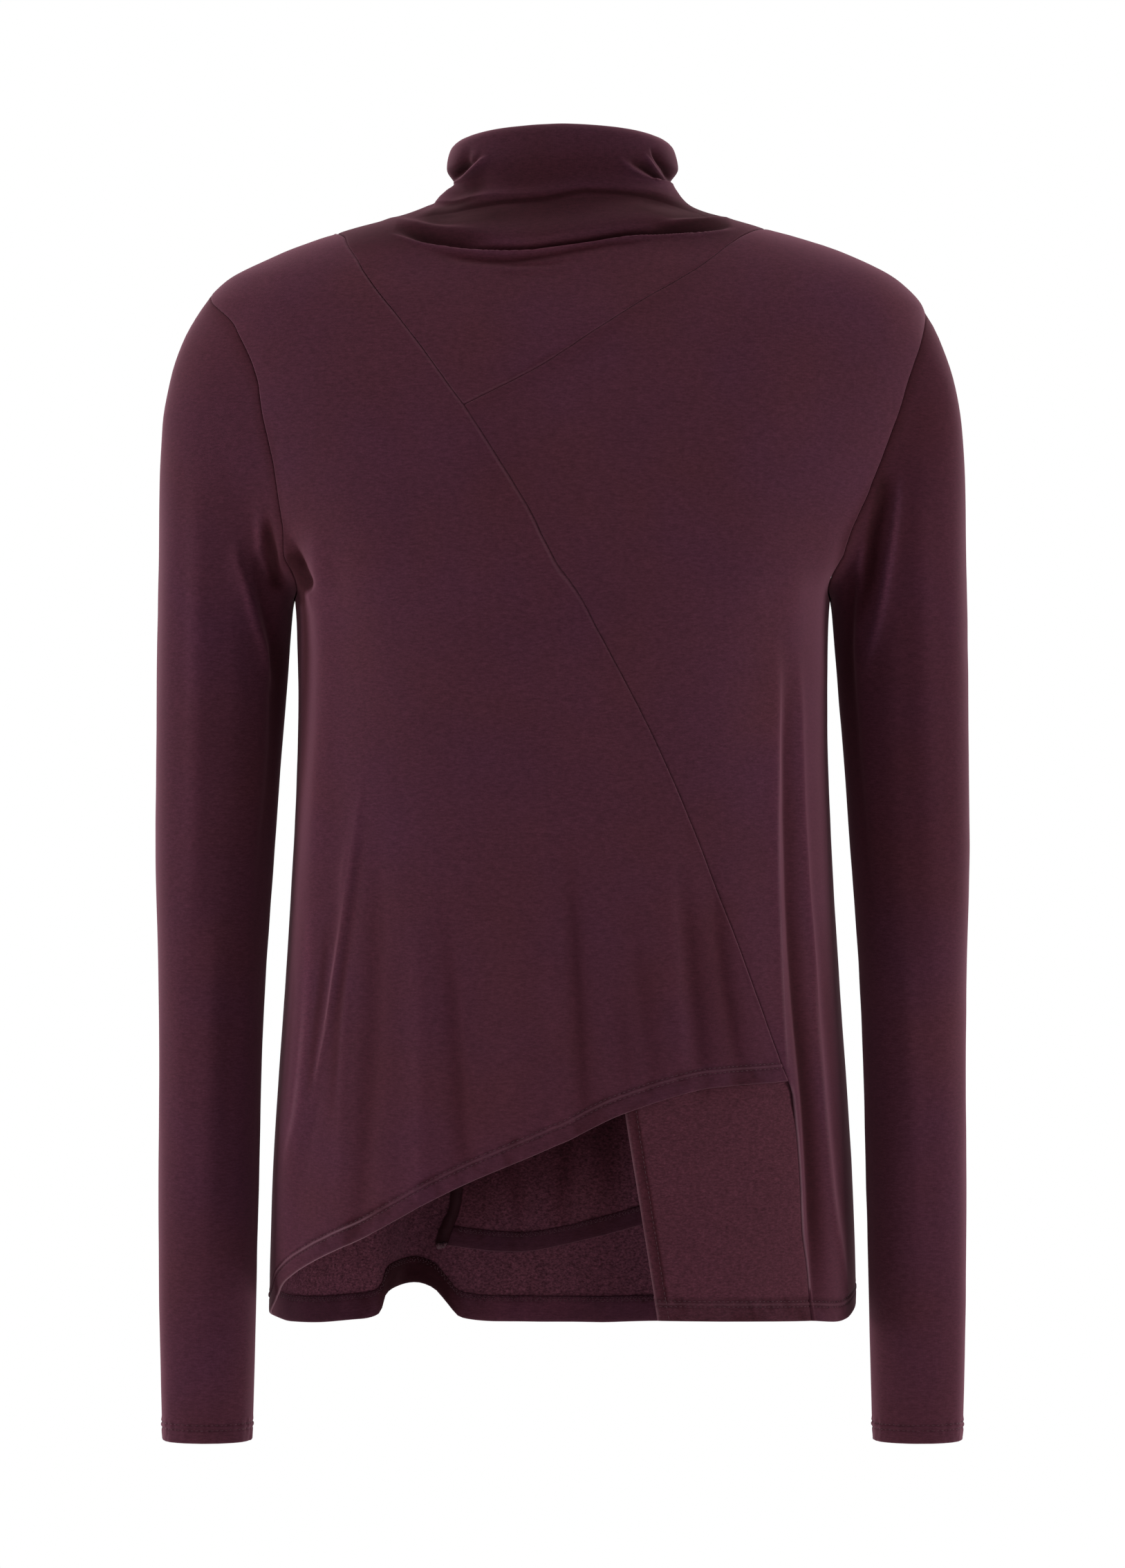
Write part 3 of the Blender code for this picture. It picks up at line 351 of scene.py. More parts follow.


# Painted shade where the cloth lies in shade (painted highlight where it is -): how much, then as
# the folds
frontPaintedShades = shadeRows(
    (0.46, 3.4, 7.5, ((-78, -1, 0), (-66, 2, 1), (-54, 3.5, 1), (-42, 4.5, 0.5), (-34, 5.5, 0))),
    (0.55, 3.5, 7.5, ((44, 9, 0), (55, 7, 0.8), (66.4, 4.5, 1), (76.6, 1.8, 1), (87.8, 0.7, 0.4))),
    (0.7, 0.5, 1, ((-60, 3.8, 0), (-50.2, 5.8, 0.6), (-40, 6.7, 1), (-29.9, 7.2, 1),
        (-17.9, 7.5, 1), (-6, 8.7, 1), (3.9, 10.8, 1), (14.1, 12.3, 1), (25.9, 12.1, 1),
        (38.2, 11.6, 1), (48.3, 10.5, 1), (58.3, 8.7, 0.8), (68.5, 5.7, 0)), 1.4),
    (0.9, 0.8, 0.6, ((-64, -20, 0), (-50, -21.1, 0.5), (-40, -21.6, 1), (-29.7, -22.4, 1),
        (-19.6, -22.4, 1), (-8.2, -21, 1), (4.2, -19.3, 1), (19.9, -16.5, 1), (35.6, -13.9, 1),
        (51.9, -12.5, 1), (65.9, -10.3, 1), (80, -8.5, 0.8), (93, -6.2, 0)), 1.4),
    (-0.22, 3, 2, ((-80, -16, 0), (-66, -18.5, 1), (-50, -19.5, 1), (-37.7, -20.5, 0))),
    (0.5, 5, 4, ((-43, 20, 0), (-52, 12.5, 1), (-62, 6.5, 1), (-72, 1, 0))),
    (0.42, 4.5, 4.5, ((26, 3, 0), (50, 1, 0.9), (70, -1.5, 1), (88, -4, 0.3))),
    (0.3, 5, 5, ((-88, -5.5, 0), (-65, -3, 1), (-45, -2, 1), (-25, -3, 0.3))),
    (0.42, 2.6, 1.2, ((47.9, -11.2, 0), (56.8, -10.2, 0.7), (65.9, -9.2, 1), (76.2, -7.8, 1),
        (86.2, -6.5, 0.8), (94.3, -5.5, 0))),
    (0.2, 1.5, 3, ((-76, -23.5, 0), (-60, -26.2, 0.6), (-46, -27.8, 0.8), (-32, -28.4, 1),
        (-20, -27.6, 1), (-10, -26.2, 1), (0, -24.2, 0.9), (12, -21.7, 0.8), (28, -18.7, 0.4),
        (45, -17, 0))),
    (0.15, 7, 15, ((-70, -28, 0), (-30, -33, 1), (20, -30, 1), (60, -23, 0))),
    # below the yoke seam
    (0.2, 0.5, 9, ((-52, -108.5, 0.6), (-20, -90.5, 1), (10, -73.5, 1), (45, -51.5, 1),
        (75, -30, 0.3))),
    # along the armholes into the underarms
    (0.42, 3.4, 3.4, ((-164, -110, 0), (-162.5, -130, 0.5), (-159, -163, 1), (-155, -184, 1),
        (-151, -198, 0.8), (-148, -212, 0))),
    (0.42, 4, 4, ((180, -130, 0), (172, -153, 0.6), (166, -168, 1), (160, -183, 1), (156, -198, 1),
        (151, -212, 0.4))),
    (0.9, 3.4, 4, ((-145, -196, 0), (-144, -212, 1), (-143.2, -240, 1), (-144, -290, 0.8),
        (-147, -350, 0.5), (-152, -420, 0))),
    (0.8, 5, 4, ((-153, -188, 0), (-150, -198, 1), (-147.5, -210, 1), (-146, -220, 0))),
    (1, 3, 3, ((-152, -190, 0), (-149, -197, 0.8), (-145, -203.5, 1), (-140, -207.5, 0.8),
        (-135, -209, 0))),
    (0.3, 5, 5, ((150, -260, 0), (150, -310, 1), (154, -400, 0.6), (158, -460, 0))),
    # lit crests of the left flutes, and the dark between them
    (-1, 2.4, 1.6, ((-138.5, -380, 0), (-139.7, -420, 1), (-143.6, -470, 1), (-147, -500, 1),
        (-152.4, -525, 0.3))),
    (-1, 0.8, 0.8, ((-123.5, -395, 0), (-126.8, -420, 1), (-130.5, -450, 1), (-134.5, -470, 0.8),
        (-137, -485, 0))),
    (0.45, 2, 2, ((-130, -390, 0), (-133, -430, 1), (-136.5, -460, 1), (-140, -490, 0.3))),
    (0.45, 2.2, 3, ((-118, -400, 0), (-121.5, -430, 1), (-125, -470, 1), (-127, -500, 0.2))),
    (0.35, 2, 1.6, ((-146.5, -410, 0), (-148, -440, 1), (-151, -480, 1), (-153, -505, 0))),
    # drags that fan down to the slanting hem
    (0.16, 7, 7, ((68, -370, 0), (73, -410, 1), (78, -455, 1), (80, -480, 0.5))),
    (0.16, 6, 6, ((45, -400, 0), (49, -440, 1), (54, -480, 0.8))),
    (0.14, 5, 5, ((30, -420, 0), (34, -460, 1), (37, -490, 0.5))),
    (0.15, 6, 6, ((6, -370, 0), (8.5, -430, 1), (12.5, -490, 0.8))),
    (0.18, 5, 6, ((-62, -380, 0), (-58, -450, 1), (-53, -525, 0.8))),
    # beside the free edge of the right front and beyond its outer ridge
    (0.5, 4.6, 4, ((126, -360, 0), (130, -430, 0.7), (134.5, -470, 1), (138.5, -515, 1),
        (141, -550, 1), (142.5, -600, 0.2))),
    (0.36, 5, 3, ((143, -380, 0), (148, -450, 1), (152, -510, 1), (157, -560, 1), (161, -600, 0))),
    # by the wrap seam over the hem
    (0.22, 14, 14, ((80, -380, 0), (90, -440, 1), (96, -478, 0.8))),
    (0.12, 12, 12, ((-96, -380, 0), (-98.5, -455, 1), (-103, -530, 0.2))),
)


# Thin lit crests: how light, then as the folds
frontGlints = shadeRows(
    (0.3, 0.7, 0.7, ((117.8, -290, 0), (117.8, -330, 0.7), (118.5, -365, 1), (120, -400, 1),
        (121.5, -440, 1), (123.8, -474, 0.6))),
    (0.17, 0.7, 0.7, ((139, -420, 0), (141.8, -460, 1), (145, -500, 1), (148.8, -540, 1),
        (152.8, -568, 0.4))),
    (0.3, 0.6, 0.6, ((-123.5, -395, 0), (-126.8, -420, 1), (-130.5, -450, 1), (-134.5, -470, 0.6),
        (-137, -485, 0))),
    (0.22, 1.2, 0.8, ((-139.7, -420, 0), (-143.6, -470, 0.8), (-147, -500, 1),
        (-152.4, -525, 0.2))),
)


foldLook = {
    "steps": 26,                            # places along the run of each fold
    "softReach": 3.2, "crispReach": 6.0,    # widths beyond which a fold is flat
    "shadePace": 0.9,                        # how fast the painted shade in their troughs grows as folds get steeper
    "lapFade": 0.3, "shadeFade": 0.14,      # they fade out where the form turns sideways
    # unevenness of the cloth: height, and size of its lumps across and up
    "rough": ((0.00045, 0.042, 0.085), (0.00022, 0.019, 0.034), (0.00008, 0.008, 0.012)),
}


def addFold(height, hollow, x, z, fold):
    size, leftWidth, rightWidth, line, power = (fold + (2.0,))[:5]
    path = smoothLine(line, foldLook["steps"])
    reach = foldLook["softReach" if power > 1.5 else "crispReach"] * max(leftWidth, rightWidth)
    near = ((x > path[:, 0].min() - reach) & (x < path[:, 0].max() + reach)
            & (z > path[:, 1].min() - reach) & (z < path[:, 1].max() + reach))
    if not near.any():
        return
    px, pz = x[near], z[near]
    best = np.full_like(px, 1e9)
    sideways, strength = np.zeros_like(px), np.zeros_like(px)
    for (ax, az, aPower), (bx, bz, bPower) in zip(path[:-1], path[1:]):
        runX, runZ = bx - ax, bz - az
        t = np.clip(((px - ax) * runX + (pz - az) * runZ) / (runX ** 2 + runZ ** 2), 0, 1)
        offX, offZ = px - ax - t * runX, pz - az - t * runZ
        away = np.hypot(offX, offZ)
        closer = away < best
        best = np.where(closer, away, best)
        turn = runX * offZ - runZ * offX
        sideways = np.where(closer, np.sign(turn), sideways)
        strength = np.where(closer, aPower + (bPower - aPower) * t, strength)
    width = np.where(sideways > 0, leftWidth, rightWidth)
    shape = strength * np.exp(-(best / width) ** power)
    height[near] += size * shape
    # painted shade in a trough and painted highlight on a ridge, more for steeper folds
    steep = min(1.0, foldLook["shadePace"] * abs(size) / (leftWidth + rightWidth))
    hollow[near] -= math.copysign(steep, size) * shape


def layFolds(x, z, folds):
    # how far a set of folds lifts the cloth, with painted shade in their troughs and painted
    # highlight on their ridges
    height, hollow = np.zeros_like(x), np.zeros_like(x)
    for fold in folds:
        addFold(height, hollow, x, z, fold)
    return height, hollow


def bodyFolds(points, angle):
    # folds and the faint unevenness of the cloth, with the painted shade and highlight of the folds
    # and shade rows; front and back meet at the sides
    x, z = points[..., 0], points[..., 2]
    total, hollow = np.zeros_like(x), np.zeros_like(x)
    for folds, shades, way, seed in ((frontFolds, frontPaintedShades, 1, 3), (backFolds, (), -1, 8)):
        facing = np.cos(angle) * way
        lift, deep = layFolds(x, z, folds)
        total += lift * smoothStep(facing / foldLook["lapFade"])
        hollow += deep * smoothStep(facing / foldLook["lapFade"])
        hollow += layFolds(x, z, shades)[0] * smoothStep(facing / foldLook["shadeFade"])
        rough = sum(size * softNoise(x / across, z / up, seed + index)
                    for index, (size, across, up) in enumerate(foldLook["rough"]))
        total += rough * smoothStep(0.5 + facing / 0.6)
    return total, hollow


# Seams and edges in millimetres, as x and height on the front or the back
bodyLines = {line: [(x / 1000, z / 1000) for x, z in points] for line, points in {
    "wrapUpper": ((-130, -7), (-122.3, -11.5), (-114.1, -26), (-105.2, -40.5), (-87.7, -63.5),
        (-54.1, -109.9)),
    "wrapLower": ((-54.1, -109.9), (-15.5, -172.5), (21.6, -238.6), (51.4, -296), (89.1, -386.1),
        (124, -481.5)),
    "rightEdge": ((124, -481.5), (127, -490), (129.4, -510.6), (131.4, -533.6), (132.8, -563.4),
        (136.2, -585.6), (137.6, -600), (139.2, -614.7)),
    "yoke": ((-54.1, -109.9), (-13.2, -89.1), (18.3, -68.1), (52.8, -45.8), (91.8, -18.2),
        (102.1, -10.9), (110, -6.5), (120, -3.9)),
    "slantingHem": ((-170, -616), (-164, -612.5), (-161.2, -607), (-157.2, -598.5), (-150, -590.3),
        (-108.2, -566.1), (-56.2, -537.9), (-13.4, -519.5), (34.4, -497.5), (85.3, -483.9),
        (124, -481.5)),
    "rightHem": ((139.2, -614.7), (154.2, -616.6), (159, -615.6), (163, -612.2), (170, -608.5)),
    "backHem": ((-170, -616), (-163, -619.5), (-155, -624), (-136, -626.2), (-116, -625.3),
        (-106, -622.2), (-102, -612), (-96, -608.8), (-81.5, -607), (-74.5, -609.2),
        (-66.5, -618.5), (-59, -626.5), (-30, -629.6), (70, -628.2), (140, -621), (160, -614.5),
        (170, -608.5)),
    "innerSeam": ((-67, -584.6), (-58.3, -552.1), (-56, -430)),
    "innerHem": ((164, -542), (130, -550), (70, -566), (21.3, -579.2), (-26.8, -589),
        (-67, -584.6)),
}.items()}

# Armholes: level, and degrees in from the side line at the front and at the back
armholes = {
    "left": ((-0.0400, 0.0, 0.0), (-0.0470, 13.0, 11.0), (-0.0628, 28.6, 21.0),
             (-0.0980, 35.3, 27.0), (-0.1350, 35.1, 28.0), (-0.1728, 31.3, 25.0),
             (-0.1990, 21.5, 18.0), (-0.2110, 10.5, 9.0), (-0.2150, 0.0, 0.0)),
    "right": ((-0.0507, 0.0, 0.0), (-0.0590, 9.5, 9.5), (-0.0714, 16.3, 16.0),
              (-0.0979, 22.2, 23.0), (-0.1350, 25.2, 26.0), (-0.1728, 26.4, 25.0),
              (-0.1990, 20.0, 18.0), (-0.2110, 9.5, 9.0), (-0.2150, 0.0, 0.0)),
}
neckStart, neckEnd = 0.0120, 0.0860     # levels where the straight neck begins and ends
angleScale = 0.1                        # metres that one radian counts for
stepPlaces = 24                         # places to each step along a seam


def onFront(points):
    x, z = np.array(points, float).T
    sizes = smoothValues(bodyRings[:, 0], bodyRings[:, 1:], z)
    sine = np.sign(x) * np.clip(np.abs(x) / sizes[:, 1], 0, 1) ** (sizes[:, 4] / 2)
    return np.stack([np.arcsin(sine), z], axis=1)


def onBack(points):
    places = onFront(points)
    places[:, 0] = math.pi - places[:, 0]
    return places


def stations(places, steps):
    # even steps along a seam that runs through a few places
    dense = smoothLine(np.array(places, float) * (angleScale, 1), 900) / (angleScale, 1)
    run = runAlong(bodyForm(dense[:, 0], dense[:, 1]))
    return readColumns(np.linspace(0, run[-1], steps * stepPlaces + 1), run, dense)


def joined(*pieces):
    return np.concatenate([pieces[0]] + [piece[1:] for piece in pieces[1:]])


def readEdge(places, share):
    return readColumns(share, np.linspace(0, 1, len(places)), places)


def armholeLine(side, name, column):
    # half an armhole from the underarm up; column 1 front, 2 back
    table = np.array(armholes[name])[::-1]
    inward = np.radians(table[:, column])
    angle = side * (quarter - inward) if column == 1 else side * (quarter + inward)
    return stations(np.stack([angle, table[:, 0]], axis=1), 9)


def seamLines():
    steps = {"wrapUpper": 5, "wrapLower": 13, "rightEdge": 5, "yoke": 10}
    found = {name: stations(onFront(bodyLines[name]), count) for name, count in steps.items()}
    for name, side in (("left", -1), ("right", 1)):
        line = ((side * quarter, cloth["sideHem"][name]), (side * quarter, cloth["underarm"]))
        found[name + "Side"] = stations(line, 9)
        found[name + "ArmFront"] = armholeLine(side, name, 1)
        found[name + "ArmBack"] = armholeLine(side, name, 2)
        found[name + "Tip"] = armholes[name][0][0]
    return found


lines = seamLines()


def patchPlaces(left, right, bottom, top, topFade=1.0, bottomReach=1.0):
    # four edges filled in; the bends of the bottom and top edges fade out between them
    def places(u, v):
        across = (1 - u[..., None]) * readEdge(left, v) + u[..., None] * readEdge(right, v)
        u, v = u[..., None], v[..., None]
        bottomBend = readEdge(bottom, u[..., 0]) - (1 - u) * bottom[0] - u * bottom[-1]
        topBend = readEdge(top, u[..., 0]) - (1 - u) * top[0] - u * top[-1]
        leftOver = np.clip(1 - v / bottomReach, 0, 1)
        return across + leftOver * bottomBend + np.clip(v, 0, 1) ** topFade * topBend
    return places


def hemRows(depth, step=0.0008):
    # up the turned-in layer, round the fold, then out over the face: distance up and inset
    roll = cloth["hemRoll"]
    inside = [(up, 2 * roll) for up in np.arange(depth, 0.0016, -2 * step)]
    turn = [(roll * (1 - math.sin(a)), roll * (1 - math.cos(a)))
            for a in np.linspace(math.pi, 0, 8)]
    needle = hemLook["needles"]
    face = np.concatenate([np.arange(roll + step, needle[0] - 0.0006, step),
                           np.arange(needle[0] - 0.0005, needle[1] + 0.0007, 0.0004),
                           np.arange(needle[1] + 0.0014, depth + 0.0035, step)])
    return np.array(inside + turn + [(up, 0.0) for up in face])


def gridShares(form, cut):
    # shares across (u) and up (v): set distances in from each edge, even steps between; the
    # pace along an edge is the metres that one share counts for there
    step = 0.003

    def spread(nearPace, farPace, count, near, far, crowd=((0, 1), (0, 1))):
        first = np.array(near)[:, None] / nearPace
        last = 1 - np.array(far)[::-1, None] / farPace
        t = np.interp(np.linspace(0, 1, count + 2)[1:-1, None], *crowd)
        return np.concatenate([first, first[-1:] + (last[:1] - first[-1:]) * t, last])

    def pace(u, v, du, dv):
        return np.linalg.norm(form(u + du, v + dv) - form(u, v), axis=-1) / step

    across = np.linspace(0, 1, cut["columns"] + len(cut["left"]) + len(cut["right"]))
    up = np.linspace(0, 1, cut["rows"] + len(cut["bottom"]) + len(cut["top"]))
    paces = {
        "left": pace(up * 0, up, step, 0), "right": pace(up * 0 + 1, up, -step, 0),
        "bottom": pace(across, across * 0, 0, step), "top": pace(across, across * 0 + 1, 0, -step),
    }
    u = spread(paces["left"], paces["right"], cut["columns"], cut["left"], cut["right"])
    v = spread(paces["bottom"], paces["top"], cut["rows"], cut["bottom"], cut["top"],
               cut.get("crowd", ((0, 1), (0, 1)))).T
    away = {
        "left": u * paces["left"], "right": (1 - u) * paces["right"],
        "bottom": v * paces["bottom"][:, None], "top": (1 - v) * paces["top"][:, None],
    }
    return u, v, away


def seamInset(away, sewn, x, z, raised=()):
    # the edge turns in at each sewn seam, in a soft and slightly gathered valley; a raised
    # edge stands up first
    total = np.zeros_like(x)
    near = np.full_like(x, 1.0)
    for name in sewn:
        near = np.minimum(near, away[name])
    for name in raised:
        uneven = 1 + 0.6 * softNoise(x / 0.0035, z / 0.0035, 22)
        ridge = bell(away[name], cloth["ridgeAt"], cloth["ridgeWidth"])
        total -= cloth["seamRidge"] * uneven * ridge
    total += cloth["seamDip"] * bell(near, 0, cloth["seamReach"])
    gather = 1 + cloth["gather"] * softNoise(x / cloth["gatherStep"], z / cloth["gatherStep"], 21)
    total += cloth["seamValley"] * gather * bell(near, 0, cloth["valleyReach"])
    return total, near


hemLook = {
    "needles": (0.0082, 0.0112),   # twin-needle lines, up from the edge
    "pull": 0.00042, "pullWidth": 0.0006, "tunnel": 0.00034,
    # puckers: height, how far apart, how tall, how far past the stitches, lean and shade
    "pucker": 0.00050, "puckerStep": 0.0056, "puckerTall": 0.012, "puckerPast": 0.004,
    "puckerLean": 0.35, "puckerShade": 0.34,
    "markWidth": 0.0007,           # the dark of a needle line
    "coverAt": 0.0019, "coverWidth": 0.0022, "coverMark": 0.95,    # and of the cover stitch
    "between": 0.13, "betweenWidth": 0.0006,    # light on the cloth between the two lines
    "rimRows": 2.2,                # rows over which the painted highlight on the fold fades
}


def hemPuckers(up, along, needles):
    # they slant over the band and just past its stitches
    past, tall = hemLook["puckerPast"], hemLook["puckerTall"]
    band = smoothStep((up + 0.001) / 0.002) * smoothStep((needles[1] + past - up) / past)
    slant = (along + hemLook["puckerLean"] * up) / hemLook["puckerStep"]
    wave = softNoise(slant, up / tall, 31) + 0.5 * softNoise(slant * 2.1, 2 * up / tall, 32)
    return band * wave


def hemInset(up, turned, along, needles):
    # stitch lines pressed in and a puffed tunnel between them
    look = hemLook
    low, high = needles
    face = np.where(turned, 0.0, 1.0)
    pressed = sum(bell(up, row, look["pullWidth"]) for row in (low, high))
    tunnel = smoothStep((up - low) / 0.001) * smoothStep((high - up) / 0.001)
    return (face * (look["pull"] * pressed - look["tunnel"] * tunnel)
            - look["pucker"] * hemPuckers(up, along, needles))


def needleMark(up, needles, turned, depth):
    # the dark of the stitch lines on the face and of the cover stitch over the raw edge inside
    face = sum(bell(up, row, hemLook["markWidth"]) for row in needles)
    inside = bell(up, depth - hemLook["coverAt"], hemLook["coverWidth"], 4)
    return np.where(turned, hemLook["coverMark"] * inside, np.minimum(face, 1))


def highlightFold(rim, count, lowest, share):
    # painted highlight along the fold of a hem
    rim[:, :count] = share * bell(np.arange(count), lowest, hemLook["rimRows"])


print("form and folds ready")


def gridMesh(name, points, closed=False, **layers):
    # a flat grid whose vertices are then laid on the cloth; the map is in metres
    columns, rows = points.shape[0] - 1, points.shape[1] - 1
    sheet = bmesh.new()
    bmesh.ops.create_grid(sheet, x_segments=columns, y_segments=rows, size=1.0)
    mesh = bpy.data.meshes.new(name)
    sheet.to_mesh(mesh)
    sheet.free()
    flat = np.empty(len(mesh.vertices) * 3)
    mesh.vertices.foreach_get("co", flat)
    flat = flat.reshape(-1, 3)
    column = np.rint((flat[:, 0] + 1) / 2 * columns).astype(int)
    row = np.rint((flat[:, 1] + 1) / 2 * rows).astype(int)
    mesh.vertices.foreach_set("co", points[column, row].ravel())
    girth, rise = runAlong(points), runAlong(points.swapaxes(0, 1)).T
    girth -= girth[columns // 2]
    corner = np.empty(len(mesh.loops), int)
    mesh.loops.foreach_get("vertex_index", corner)
    place = np.stack([girth[column[corner], row[corner]], rise[column[corner], row[corner]]], 1)
    mesh.uv_layers.new(name="cut").data.foreach_set("uv", place.ravel())
    for layer, values in layers.items():
        made = mesh.attributes.new(layer, "FLOAT", "POINT")
        made.data.foreach_set("value", np.clip(values, 0, 1)[column, row].ravel())
    mesh.update()
    if closed:
        sheet = bmesh.new()
        sheet.from_mesh(mesh)
        bmesh.ops.remove_doubles(sheet, verts=sheet.verts, dist=2e-6)
        sheet.to_mesh(mesh)
        sheet.free()
    mesh.shade_smooth()
    return mesh


def flipIfInside(mesh, points, normals):
    # faces point outwards: the first face in the middle says whether they do
    middle = points[points.shape[0] // 2, points.shape[1] // 2]
    outward = normals[points.shape[0] // 2, points.shape[1] // 2]
    face = min(mesh.polygons, key=lambda p: (p.center - Vector(middle)).length)
    if face.normal.dot(Vector(outward)) < 0:
        mesh.flip_normals()


def addPiece(name, mesh, materials, node=None):
    piece = bpy.data.objects.new(name, mesh)
    scene.collection.objects.link(piece)
    for material in materials:
        mesh.materials.append(material)
    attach(piece, "root")
    if node:
        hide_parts(node)
    return piece


def addWall(piece, lining=1):
    # one thickness of cloth, laid inwards; a lining shows the wrong side there
    solid = piece.modifiers.new("wall", "SOLIDIFY")
    solid.thickness, solid.offset = cloth["wall"], -1
    solid.use_quality_normals = bool(lining)
    solid.material_offset = lining


edgeLook = {
    "freeFade": 0.006, "freeGap": 0.020,    # a sewn side comes free over this height
    "freeTurn": (0.0007, 0.0007),           # a free edge turns in: how deep, how wide
    "freeSwell": (0.0005, 0.0016, 0.0012),  # and swells: how high, how far in, how wide
    "freeRim": (0.70, 0.0010, 0.0008),      # and is lit: how light, how far in, how wide
    "rollWidth": 0.0011, "rollRim": (0.38, 0.0009),     # an edge that curls in, with a painted highlight on it
    "lip": (0.0011, 0.0005), "lipFade": (-0.300, 0.120),    # the lit lip beside a seam
    "faintWidth": 0.002,
    "sideMark": 0.85, "sideWidth": 0.006, "sideFade": (-0.195, 0.010),  # side seams lie hidden
    "rimLeftFade": (-0.100, 0.020),         # the painted highlight on the hem's edge is stronger to the left of here
    "doubleFade": (0.0006, 0.0012), "collarFade": 0.012,
}


def panelHem(away, x, cut, rows, rim):
    # its inset, stitch marks, painted highlight on its fold, painted shade where it lies double,
    # and the puckers as painted shade
    up, count = away["bottom"], len(rows)
    turned = np.zeros(x.shape, bool)
    turned[:, :count] = np.arange(count) <= np.argmin(rows[:, 0])
    inset = hemInset(up, turned, x, hemLook["needles"])
    inset[:, :count] += rows[:, 1]
    highlightFold(rim, count, np.argmin(up[0, :count]), cut["rimShare"])
    between = bell(up, sum(hemLook["needles"]) / 2, hemLook["betweenWidth"])
    rim = np.maximum(rim, hemLook["between"] * ~turned * between)
    if "rimLeft" in cut:
        start, fade = edgeLook["rimLeftFade"]
        rim *= 1 + cut["rimLeft"] * smoothStep((start - x) / fade)
    # painted shade where the hem lies double
    reach, fade = edgeLook["doubleFade"]
    double = cut["doubled"] * smoothStep((cut["hem"] + reach - up) / fade)
    # the puckers are also painted in as shade and highlight
    puckers = hemLook["puckerShade"] * hemPuckers(up, x, hemLook["needles"])
    stitched = needleMark(up, hemLook["needles"], turned, cut["hem"])
    return inset, stitched, rim, double, puckers, turned


def layPanel(name, node, places, cut, materials):
    # one cut panel on the body form, with its seams, hem and folds
    def form(u, v):
        at = places(u, v)
        return bodyForm(at[..., 0], at[..., 1])

    look = edgeLook
    rows = hemRows(cut["hem"]) if "hem" in cut else None
    if "hem" in cut:
        cut = dict(cut, bottom=rows[:, 0])
    u, v, away = gridShares(form, cut)
    at = places(u, v)
    angle, level = at[..., 0], at[..., 1]
    base, normals = bodyForm(angle, level), bodyNormal(angle, level)
    x, z = base[..., 0], base[..., 2]
    sewnAway, rim, turned = away, np.zeros_like(x), np.zeros(x.shape, bool)
    double, stitched, puckers = np.zeros_like(x), np.zeros_like(x), np.zeros_like(x)
    if "freeBelow" in cut:
        # the lower part of this side isn't sewn to anything
        free = smoothStep((cut["freeBelow"] - z) / look["freeFade"])
        sewnAway = dict(away, left=away["left"] + look["freeGap"] * free)
        light, *rimPlace = look["freeRim"]
        rim = light * free * bell(away["left"], *rimPlace)
    inset, seamAway = seamInset(sewnAway, cut["sewn"], x, z, cut.get("raised", ()))
    if "freeBelow" in cut:
        (turn, turnWidth), (swell, *swellPlace) = look["freeTurn"], look["freeSwell"]
        inset += free * (turn * bell(away["left"], 0, turnWidth)
                         - swell * bell(away["left"], *swellPlace))
    if "hem" in cut:
        hemIn, stitched, rim, double, puckers, turned = panelHem(away, x, cut, rows, rim)
        inset += hemIn
    # painted shade where the collar lies double
    if "doubleFrom" in cut:
        double = np.maximum(double, smoothStep((z - cut["doubleFrom"]) / look["collarFade"]))
    for side, depth in cut.get("roll", {}).items():
        # a free edge that curls in, with a painted highlight along it
        inset += depth * bell(away[side], 0, look["rollWidth"])
        rim = np.maximum(rim, look["rollRim"][0] * bell(away[side], 0, look["rollRim"][1]))
    if "deeper" in cut:
        inset += cut["deeper"](u, v)
    lift, hollow = bodyFolds(base, angle)
    points = base + normals * (lift - inset - cut.get("inset", 0))[..., None]

    seam = bell(seamAway, 0, cloth["seamLine"])
    for side in cut.get("sides", ()):
        start, fade = look["sideFade"]
        seam *= 1 - (look["sideMark"] * bell(away[side], 0, look["sideWidth"], 4)
                     * smoothStep((start - z) / fade))
    for side, share in cut.get("faint", {}).items():
        seam *= 1 - share * bell(away[side], 0, look["faintWidth"])
    for side, share in cut.get("lips", {}).items():
        start, fade = look["lipFade"]
        rim = np.maximum(rim, share * bell(away[side], *look["lip"])
                         * smoothStep((z - start) / fade))
    seam = np.maximum(seam, stitched)
    if cut.get("glints"):
        rim = rim + layFolds(x, z, frontGlints)[0]
    if "marks" in cut:
        seam = np.maximum(seam, cut["marks"](away))
    if "paintedShadeAt" in cut:
        hollow = hollow + cut["paintedShadeAt"](x, z)
    hollow = hollow - puckers
    if "turnedShade" in cut:
        hollow = hollow + np.interp(x, *np.array(cut["turnedShade"]).T) * turned
    mesh = gridMesh(name, points, seam=seam, rim=rim, double=double,
                    hollow=(np.clip(hollow, -1, 1) + 1) / 2)
    flipIfInside(mesh, points, normals)
    piece = addPiece(name, mesh, materials, node)
    addWall(piece)
    print(f"{name}: {points.shape[0]} x {points.shape[1]} laid")
    return {"piece": piece, "points": points, "normals": normals, "away": away,
            "turned": int(turned[0].sum()), "cut": cut}
